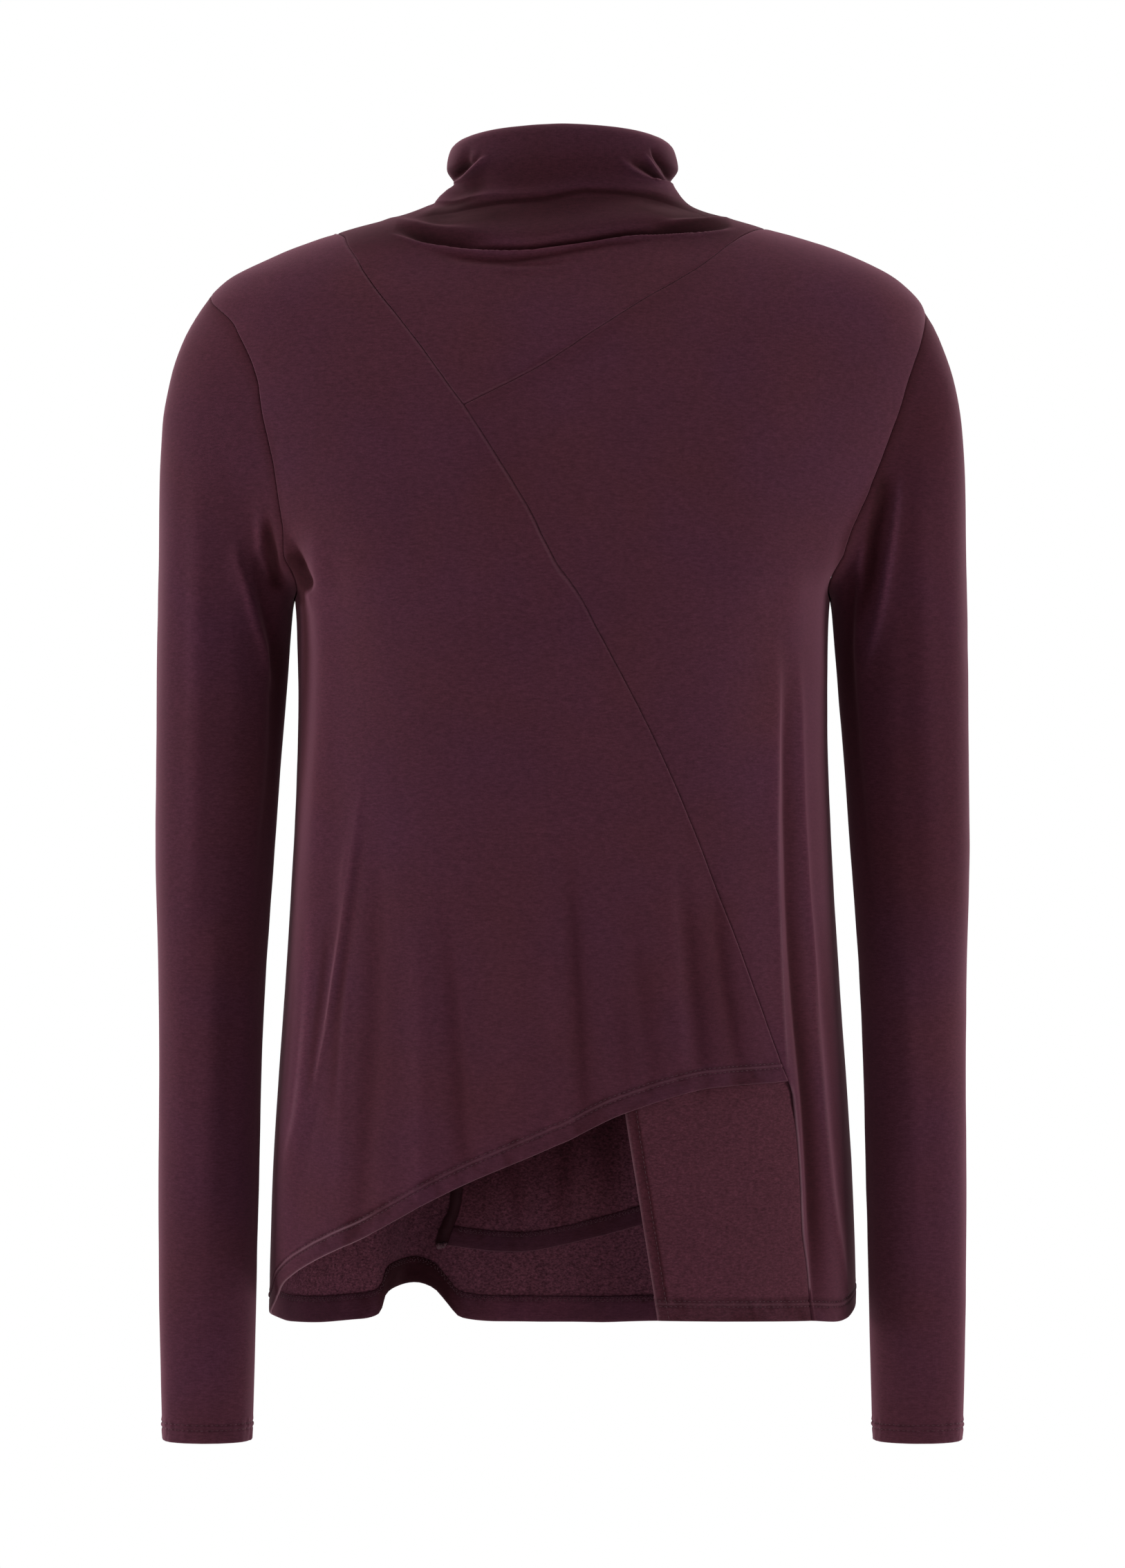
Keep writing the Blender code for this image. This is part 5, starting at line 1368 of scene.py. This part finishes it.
def buildSleeve(name, side):
    form, share, turn, bodyOut = sleeveForm(name, side)
    step, small = 0.002, 0.0015

    def pace(at, toward):
        there = form(share, at + toward + 0 * share)
        return (np.linalg.norm(there - form(share, at + 0 * share), axis=-1) / step)[:, None]

    # rows: the cuff's turned hem first, then up to the armhole seam
    hem = hemRows(sleeveCut["hem"])
    cuffPace, topPace = pace(1, -step), pace(0, step)
    first = 1 - hem[:, 0][None] / cuffPace
    last = np.array(sewnSteps)[::-1][None] / topPace
    t = np.linspace(0, 1, sleeveCut["rows"] + 2)[1:-1][None]
    v = np.concatenate([first, first[:, -1:] + (last[:, :1] - first[:, -1:]) * t, last], axis=1)
    u = np.broadcast_to(share[:, None], v.shape)
    away = {"top": v * topPace, "bottom": (1 - v) * cuffPace}
    base = form(u, v)
    x, z = base[..., 0], base[..., 2]
    downward = form(u, np.clip(v + small, 0, 1)) - form(u, np.clip(v - small, 0, 1))
    aroundStep = np.roll(base[:-1], -1, axis=0) - np.roll(base[:-1], 1, axis=0)
    aroundStep = np.concatenate([aroundStep, aroundStep[:1]])
    normals = unit(np.cross(downward, aroundStep)) * -side
    start, reach = sleeveCut["underarm"]
    underarm = smoothStep((-np.cos(turn) - start) / reach)[:, None, None]
    close = bell(away["top"], 0, sleeveCut["bodyReach"])[..., None] * (1 - underarm)
    normals = unit(normals * (1 - close) + bodyOut[:, None] * close)

    lift, hollow = np.zeros_like(x), np.zeros_like(x)
    for folds, way in zip(sleeveFolds[name], (-1, 1)):
        part, deep = layFolds(x, z, folds)
        lift += part * smoothStep(normals[..., 1] * way / sleeveCut["foldFade"])
        hollow += deep * smoothStep(normals[..., 1] * way / sleeveCut["foldFade"])
    lift += (0.00055 * softNoise(np.cos(turn)[:, None] * 2.2 + 4 + 0 * z, z / 0.110, 41)
             + 0.00030 * softNoise(np.sin(turn)[:, None] * 3.1 + 5 + 0 * z, z / 0.060, 42)
             + 0.00010 * softNoise(x / 0.011, z / 0.016, 43))
    lift *= smoothStep(away["top"] / sleeveCut["foldStart"])
    inset, seamAway = seamInset({"top": away["top"]}, ("top",), x, z)
    turned = np.zeros(x.shape, bool)
    lowest = int(np.argmin(hem[:, 0]))
    turned[:, :lowest + 1] = True
    inset[:, :len(hem)] += hem[:, 1][None]
    along = runAlong(base[:, -8])[:, None] + 0 * z
    fade = smoothStep(along / 0.004) * smoothStep((along[-1:] - along) / 0.004)
    rows = [row - sleeveCut["needleDrop"] for row in hemLook["needles"]]
    stray = sleeveCut["needleStray"] * softNoise(along / 0.03, 0 * z + 3.5, 44)
    needles = [row + stray for row in rows]
    pressed = hemInset(away["bottom"], turned, along, needles)
    inset += sleeveCut["hemPress"] * pressed * fade
    rim = np.zeros_like(x)
    highlightFold(rim, len(hem), lowest, sleeveCut["rimShare"])
    # painted shade where the cuff lies double
    fade = sleeveCut["doubleFade"]
    double = sleeveCut["doubled"] * smoothStep((sleeveCut["hem"] - fade - away["bottom"]) / fade)
    points = base + normals * (lift - inset)[..., None]
    points[-1] = points[0]
    label = "sleeve" + name.capitalize()
    seam = np.maximum(sleeveCut["seamMark"] * bell(seamAway, 0, cloth["seamLine"]),
                      needleMark(away["bottom"], needles, turned, sleeveCut["hem"]))
    mesh = gridMesh(label, points, closed=True, seam=seam, rim=rim, double=double,
                    hollow=sleeveColour(name, x, z, hollow, normals, away["top"]))
    flipIfInside(mesh, points, normals)
    piece = addPiece(label, mesh, both, "sleeve_" + name)
    addWall(piece)
    print(f"{label}: {points.shape[0]} x {points.shape[1]} laid")
    return {"piece": piece, "points": points, "normals": normals, "away": away,
            "turned": lowest + 1, "cut": sleeveCut, "needles": rows}


stitchLook = {
    "length": 0.0020, "step": 0.0028, "width": 0.00030, "height": 0.00020,
    # the cover stitch: its pace, how far below the raw edge, and its two needle lines
    "coverStep": 0.0017, "coverDrop": 0.0016, "coverRows": (-0.0012, 0.0011), "coverSlant": 1.1,
    "colour": (0.0560, 0.0165, 0.0255), "coverColour": (0.0640, 0.0200, 0.0300),
}


def makeThread(name, colour):
    material = bpy.data.materials.new(name)
    material.use_nodes = True
    nodes, links = material.node_tree.nodes, material.node_tree.links
    shader = nodes["Principled BSDF"]
    shader.inputs["Roughness"].default_value = 0.55
    shader.inputs["Specular IOR Level"].default_value = 0.25
    shader.inputs["Sheen Weight"].default_value = 0.1
    coords = nodes.new("ShaderNodeTexCoord")
    mottle = nodes.new("ShaderNodeTexNoise")
    mottle.inputs["Scale"].default_value = 700.0
    links.new(coords.outputs["Object"], mottle.inputs["Vector"])
    tint = nodes.new("ShaderNodeMix")
    tint.data_type = "RGBA"
    tint.inputs[6].default_value = tuple(0.6 * part for part in colour) + (1,)
    tint.inputs[7].default_value = tuple(1.4 * part for part in colour) + (1,)
    links.new(mottle.outputs["Fac"], tint.inputs["Factor"])
    links.new(tint.outputs[2], shader.inputs["Base Color"])
    return material


thread = makeThread("plumThread", stitchLook["colour"])
coverThread = makeThread("plumCoverThread", stitchLook["coverColour"])


def rowPlaces(panel, up, inside, step):
    # even places along a hem at one distance up from its edge, with the way out of the cloth
    turned = panel["turned"]
    rows = slice(0, turned) if inside else slice(turned, turned + 40)
    away, points = panel["away"]["bottom"][:, rows], panel["points"][:, rows]
    line = np.empty((len(away), 6))
    for index in range(len(away)):
        order = np.argsort(away[index])
        for axis in range(3):
            line[index, axis] = np.interp(up, away[index][order], points[index, order, axis])
    line[:, 3:] = panel["normals"][:, turned + 6] * (-1 if inside else 1)
    run = runAlong(line[:, :3])
    return readColumns(np.arange(step, run[-1] - step, step), run, line)


def addStitches(bag, places, slant=0.0, jitter=0.0, seed=1):
    # one small capsule a stitch, along the line or slanted over it
    random = np.random.RandomState(seed)
    along = np.gradient(places[:, :3], axis=0)
    for index, (place, way) in enumerate(zip(places, along)):
        out = Vector(place[3:]).normalized()
        way = Vector(way + 0.06 * np.linalg.norm(way) * random.uniform(-1, 1, 3))
        way = (way - out * way.dot(out)).normalized()
        side = out.cross(way)
        if slant:
            way = (way + side * slant * (1 if index % 2 else -1)).normalized()
            side = out.cross(way)
        turn = Matrix((way, side, out)).transposed().to_4x4()
        shift = Vector(place[:3]) + side * jitter * random.uniform(-1, 1)
        size = Matrix.Diagonal((stitchLook["length"] / 2, stitchLook["width"] / 2,
                                stitchLook["height"], 1))
        bmesh.ops.create_icosphere(bag, subdivisions=1, radius=1.0,
                                   matrix=Matrix.Translation(shift) @ turn @ size)


def finishSmall(name, bag, material):
    mesh = bpy.data.meshes.new(name)
    bag.to_mesh(mesh)
    bag.free()
    mesh.shade_smooth()
    return addPiece(name, mesh, (material,))


def stitchHem(name, panel):
    bag = bmesh.new()
    for row in panel.get("needles", hemLook["needles"]):
        addStitches(bag, rowPlaces(panel, row, False, stitchLook["step"]), jitter=0.00008)
    return finishSmall(name, bag, thread)


def coverHem(name, panel):
    # the cover stitch over the raw edge inside a hem, zigzag between its two needle lines
    bag = bmesh.new()
    look = stitchLook
    middle = panel["cut"]["hem"] - look["coverDrop"]
    addStitches(bag, rowPlaces(panel, middle, True, look["coverStep"]),
                slant=look["coverSlant"], jitter=0.0002, seed=5)
    for row in look["coverRows"]:
        addStitches(bag, rowPlaces(panel, middle + row, True, look["step"]), jitter=0.0001, seed=6)
    return finishSmall(name, bag, coverThread)


panels = {
    "frontLeft": buildFrontLeft(),
    "frontRight": buildFrontRight(),
    "neckYoke": buildNeckYoke(),
    "back": buildBack(),
    "underFlap": buildUnderFlap(),
    "innerBack": buildInnerBack(),
    "sleeveLeft": buildSleeve("left", -1),
    "sleeveRight": buildSleeve("right", 1),
}
print("panels ready")


def stitchStrip():
    # the dotted line along the turned strip of the flap's free edge
    flap = panels["underFlap"]
    column = int(np.argmin(np.abs(flap["away"]["left"][:, 20] - flapCut["band"])))
    line = np.concatenate([flap["points"][column, flap["turned"] + 1:],
                           flap["normals"][column, flap["turned"] + 1:]], axis=1)
    run = runAlong(line[:, :3])
    at = np.arange(stitchLook["length"], run[-1], stitchLook["step"])
    bag = bmesh.new()
    addStitches(bag, readColumns(at, run, line), jitter=0.0001, seed=9)
    return finishSmall("underFlapStrip", bag, thread)


allowanceLook = {
    "columns": 8, "rows": 70, "width": 0.0064, "ragged": 0.0007, "lift": 0.0010, "arch": 0.0007,
    "rough": 0.0004, "edgeMark": (0.8, 0.10), "rim": (0.05, 0.45, 0.30), "double": 0.8,
    "knotLumps": 9, "knot": (0.0018, 0.00072, 0.00108), "knotOut": 0.0008,
    "lump": (0.0007, 0.0017),
}


def buildSeamAllowance():
    # the overlocked allowance beside the inner back's seam
    look = allowanceLook
    path = smoothLine(bodyLines["innerSeam"], look["rows"] + 1)
    share = np.linspace(0, 1, look["columns"] + 1)[:, None]
    level = path[None, :, 1] + 0 * share
    ragged = look["ragged"] * softNoise(level / 0.0030, 3.0 + 0 * level, 51)
    x = path[None, :, 0] - share * (look["width"] + ragged)
    places = onBack(np.stack([x.ravel(), level.ravel()], axis=1)).reshape(x.shape + (2,))
    base = bodyForm(places[..., 0], places[..., 1])
    normals = bodyNormal(places[..., 0], places[..., 1])
    lift = bodyFolds(base, places[..., 0])[0]
    inset = (cloth["layerStep"] + look["lift"] + look["arch"] * np.sin(math.pi * share)
             + look["rough"] * softNoise(x / 0.0022, level / 0.0026, 52))
    points = base + normals * (lift - inset)[..., None]
    mark, reach = look["edgeMark"]
    edge = mark * (bell(share, 0, reach) + bell(share, 1, reach))
    light, *rimPlace = look["rim"]
    # painted shade over the whole strip and where it lies double, with a painted highlight along
    # its middle
    even = np.zeros_like(x)
    mesh = gridMesh("seamAllowance", points, seam=edge + even, double=look["double"] + even,
                    rim=light * bell(share, *rimPlace) + even, hollow=1 + even)
    flipIfInside(mesh, points, -normals)
    piece = addPiece("seamAllowance", mesh, both)
    addWall(piece, lining=0)
    middle = look["columns"] // 2
    return piece, tieKnot(points[middle, 0], -normals[middle, 0])


def tieKnot(middle, inward):
    # the knot that the threads of the overlock end in
    look = allowanceLook
    bag = bmesh.new()
    random = np.random.RandomState(4)
    for index in range(look["knotLumps"]):
        spot = middle + random.uniform(-1, 1, 3) * look["knot"] + inward * look["knotOut"]
        size = Matrix.Diagonal((*random.uniform(*look["lump"], 3), 1))
        turn = Matrix.Rotation(random.uniform(0, 3), 4, "Y")
        bmesh.ops.create_icosphere(bag, subdivisions=2, radius=1.0,
                                   matrix=Matrix.Translation(Vector(spot)) @ turn @ size)
    return finishSmall("threadKnot", bag, coverThread)


small = {
    "frontLeft": [stitchHem("frontLeftStitches", panels["frontLeft"])],
    "frontRight": [stitchHem("frontRightStitches", panels["frontRight"])],
    "back": [stitchHem("backStitches", panels["back"]),
             coverHem("backCoverStitch", panels["back"])],
    "underFlap": [stitchHem("underFlapStitches", panels["underFlap"]), stitchStrip()],
    "innerBack": [coverHem("innerBackCoverStitch", panels["innerBack"]),
                  *buildSeamAllowance()],
    "sleeveLeft": [stitchHem("sleeveLeftStitches", panels["sleeveLeft"])],
    "sleeveRight": [stitchHem("sleeveRightStitches", panels["sleeveRight"])],
}
print("stitches ready")


roomLook = {
    "floorHeight": -1.30, "floorSize": 7.0, "floorColour": (0.90, 0.90, 0.90),
    "distance": 3.5, "lens": 142.5, "eyeHeight": -0.3175,
    "sky": 0.11,
    # place, aimed at, width, height, watts: two tall side boxes, a front fill, one above the
    # front, one overhead and two behind
    "lamps": (((-2.5, -0.80, -0.05), (0, 0, -0.30), 1.0, 1.5, 47),
              ((2.5, -0.80, -0.05), (0, 0, -0.30), 1.0, 1.5, 43),
              ((0.0, -3.3, -0.10), (0, 0, -0.35), 1.3, 0.9, 13),
              ((0.0, -2.2, 1.70), (0, 0, -0.20), 1.3, 0.8, 8),
              ((0.0, 0.10, 2.10), (0, 0, -0.15), 1.7, 1.0, 27),
              ((-1.7, 2.3, 0.5), (0, 0, -0.30), 1.2, 1.8, 12),
              ((1.7, 2.3, 0.5), (0, 0, -0.30), 1.2, 1.8, 12)),
}


def aimed(place, target):
    return (Vector(target) - Vector(place)).to_track_quat("-Z", "Y").to_euler()


def buildRoom():
    world = bpy.data.worlds.new("studio")
    scene.world = world
    world.use_nodes = True
    nodes, links = world.node_tree.nodes, world.node_tree.links
    background = nodes["Background"]
    background.inputs["Color"].default_value = (1, 1, 1, 1)
    path = nodes.new("ShaderNodeLightPath")
    seen = path.outputs["Is Camera Ray"]
    for ray in ("Is Glossy Ray", "Is Transmission Ray"):
        either = nodes.new("ShaderNodeMath")
        either.operation = "MAXIMUM"
        links.new(seen, either.inputs[0])
        links.new(path.outputs[ray], either.inputs[1])
        seen = either.outputs["Value"]
    # bright to the eye and in reflections, dim as a light
    level = nodes.new("ShaderNodeMapRange")
    level.inputs["To Min"].default_value = roomLook["sky"]
    level.inputs["To Max"].default_value = 1.0
    links.new(seen, level.inputs["Value"])
    links.new(level.outputs["Result"], background.inputs["Strength"])

    for index, (place, target, width, height, watts) in enumerate(roomLook["lamps"]):
        data = bpy.data.lights.new(f"softbox{index}", "AREA")
        data.shape = "RECTANGLE"
        data.size, data.size_y, data.energy = width, height, watts
        lamp = bpy.data.objects.new(f"softbox{index}", data)
        lamp.location = place
        lamp.rotation_euler = aimed(place, target)
        scene.collection.objects.link(lamp)

    sheet = bmesh.new()
    bmesh.ops.create_grid(sheet, x_segments=1, y_segments=1, size=roomLook["floorSize"] / 2)
    bmesh.ops.translate(sheet, verts=sheet.verts, vec=(0, 0, roomLook["floorHeight"]))
    mesh = bpy.data.meshes.new("floor")
    sheet.to_mesh(mesh)
    sheet.free()
    floor = bpy.data.objects.new("floor", mesh)
    scene.collection.objects.link(floor)
    pale = bpy.data.materials.new("paleFloor")
    pale.use_nodes = True
    shader = pale.node_tree.nodes["Principled BSDF"]
    shader.inputs["Base Color"].default_value = roomLook["floorColour"] + (1,)
    shader.inputs["Roughness"].default_value = 0.9
    mesh.materials.append(pale)

    data = bpy.data.cameras.new("camera")
    data.lens = roomLook["lens"]
    data.sensor_width = 36
    camera = bpy.data.objects.new("camera", data)
    camera.location = (0, -roomLook["distance"], roomLook["eyeHeight"])
    camera.rotation_euler = (quarter, 0, 0)
    scene.collection.objects.link(camera)
    scene.camera = camera
    scene.view_settings.view_transform = "Standard"


buildRoom()
print("room ready")
